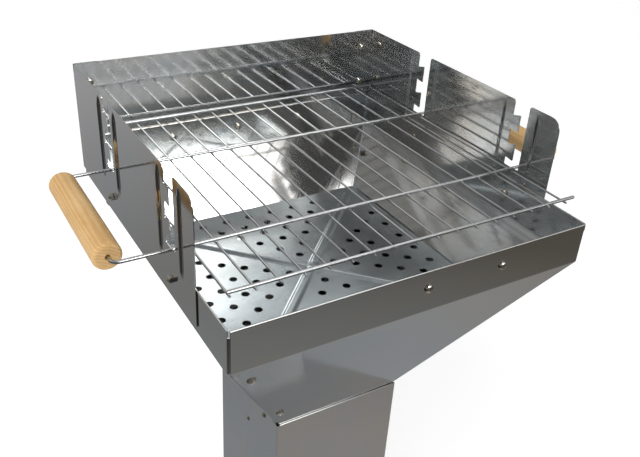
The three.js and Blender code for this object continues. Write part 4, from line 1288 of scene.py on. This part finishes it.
def soft_window(azimuth, elevation, half_wide, half_high, level, edge=0.03, pane=None, lean=0.0):
    """A rectangle of light in the sky, or of shade where its level is below zero. azimuth 0 is
    straight in front, 90 to the right, and the half sizes are slopes, as of a window one metre
    away. edge is how softly it ends, pane is the width of its panes, if any, and lean tips its
    sides over, in slope per slope."""
    a, e = math.radians(azimuth), math.radians(elevation)
    centre = (math.sin(a) * math.cos(e), -math.cos(a) * math.cos(e), math.sin(e))
    level_right = (math.cos(a), math.sin(a), 0.0)
    upward = tuple(Vector(centre).cross(Vector(level_right)))
    ahead = facing(centre)
    light = studio.between(ahead, 0.0, 0.01)
    sideways = tuple(Vector(level_right) + lean * Vector(upward))
    for direction, half in ((sideways, half_wide), (upward, half_high)):
        across = facing(direction) / ahead
        off_centre = studio.node("ShaderNodeMath", {"operation": "ABSOLUTE"}, [across])
        light = light * studio.between(off_centre, half - edge, half, 1.0, 0.0)
        if pane:
            in_pane = studio.node("ShaderNodeMath", {"operation": "PINGPONG"}, [across, pane / 2])
            light = light * studio.between(in_pane, pane * 0.38, pane * 0.46, 1.0, 0.25)
    return light * level


rise = facing((0.0, 0.0, 1.0))
low_light, high_light, overhead_light = 0.34, 0.48, 1.4
# azimuth, elevation, half width, half height, level and shape
windows = [
    (15, 28, 0.255, 0.21, 2.2, {"lean": 0.35}),
    (12, 30, 0.225, 0.19, 8.0, {"lean": 0.35}),
    (34.5, 28, 0.075, 0.3, -0.32, {}),
    (46, 16, 0.17, 0.16, 1.7, {"edge": 0.06}),
    (43.5, 22.5, 0.05, 0.05, 3.0, {"edge": 0.01, "pane": 0.025}),
    (165, 37, 0.42, 0.22, 0.6, {"edge": 0.12}),
    (-160, 40, 0.2, 0.16, 0.6, {"edge": 0.05}),
    (-115, 36, 0.25, 0.2, 1.1, {"edge": 0.08}),
    (80, 60, 0.5, 0.11, 2.2, {"edge": 0.05}),
    (-143, 30, 0.1, 0.12, -0.25, {"edge": 0.04}),
    (-28, 38, 0.3, 0.42, -0.3, {"edge": 0.1}),
]
mirrored = studio.between(rise, 0.0, 0.7, low_light, high_light)
mirrored = mirrored + studio.between(rise, 0.94, 0.985, 0.0, overhead_light)
for azimuth, elevation, half_wide, half_high, level, shape in windows:
    mirrored = mirrored + soft_window(azimuth, elevation, half_wide, half_high, level, **shape)
to_mirror = studio.node("ShaderNodeLightPath", output="Is Glossy Ray")
to_eye = studio.node("ShaderNodeLightPath", output="Is Camera Ray")
fill = 0.55
strength = to_mirror * (mirrored - fill) + to_eye * (1.0 - fill) + fill
backdrop = studio.node("ShaderNodeBackground", {}, {"Color": white, "Strength": strength})
studio.node("ShaderNodeOutputWorld", {}, {"Surface": backdrop})

lamp_data = bpy.data.lights.new("soft_lamp", "AREA")
lamp_data.shape = "DISK"
lamp_data.size = 1.6
lamp_data.energy = 26.0
lamp = added("soft_lamp", lamp_data)
lamp_place = Vector((-1.3, -0.9, 2.6))
lamp.matrix_world = Matrix.Translation(lamp_place) @ lamp_place.to_track_quat("Z", "Y").to_matrix().to_4x4()
lamp.visible_glossy = False
bpy.context.scene.view_settings.view_transform = "Standard"
print("studio lit with", len(windows), "windows and shades")
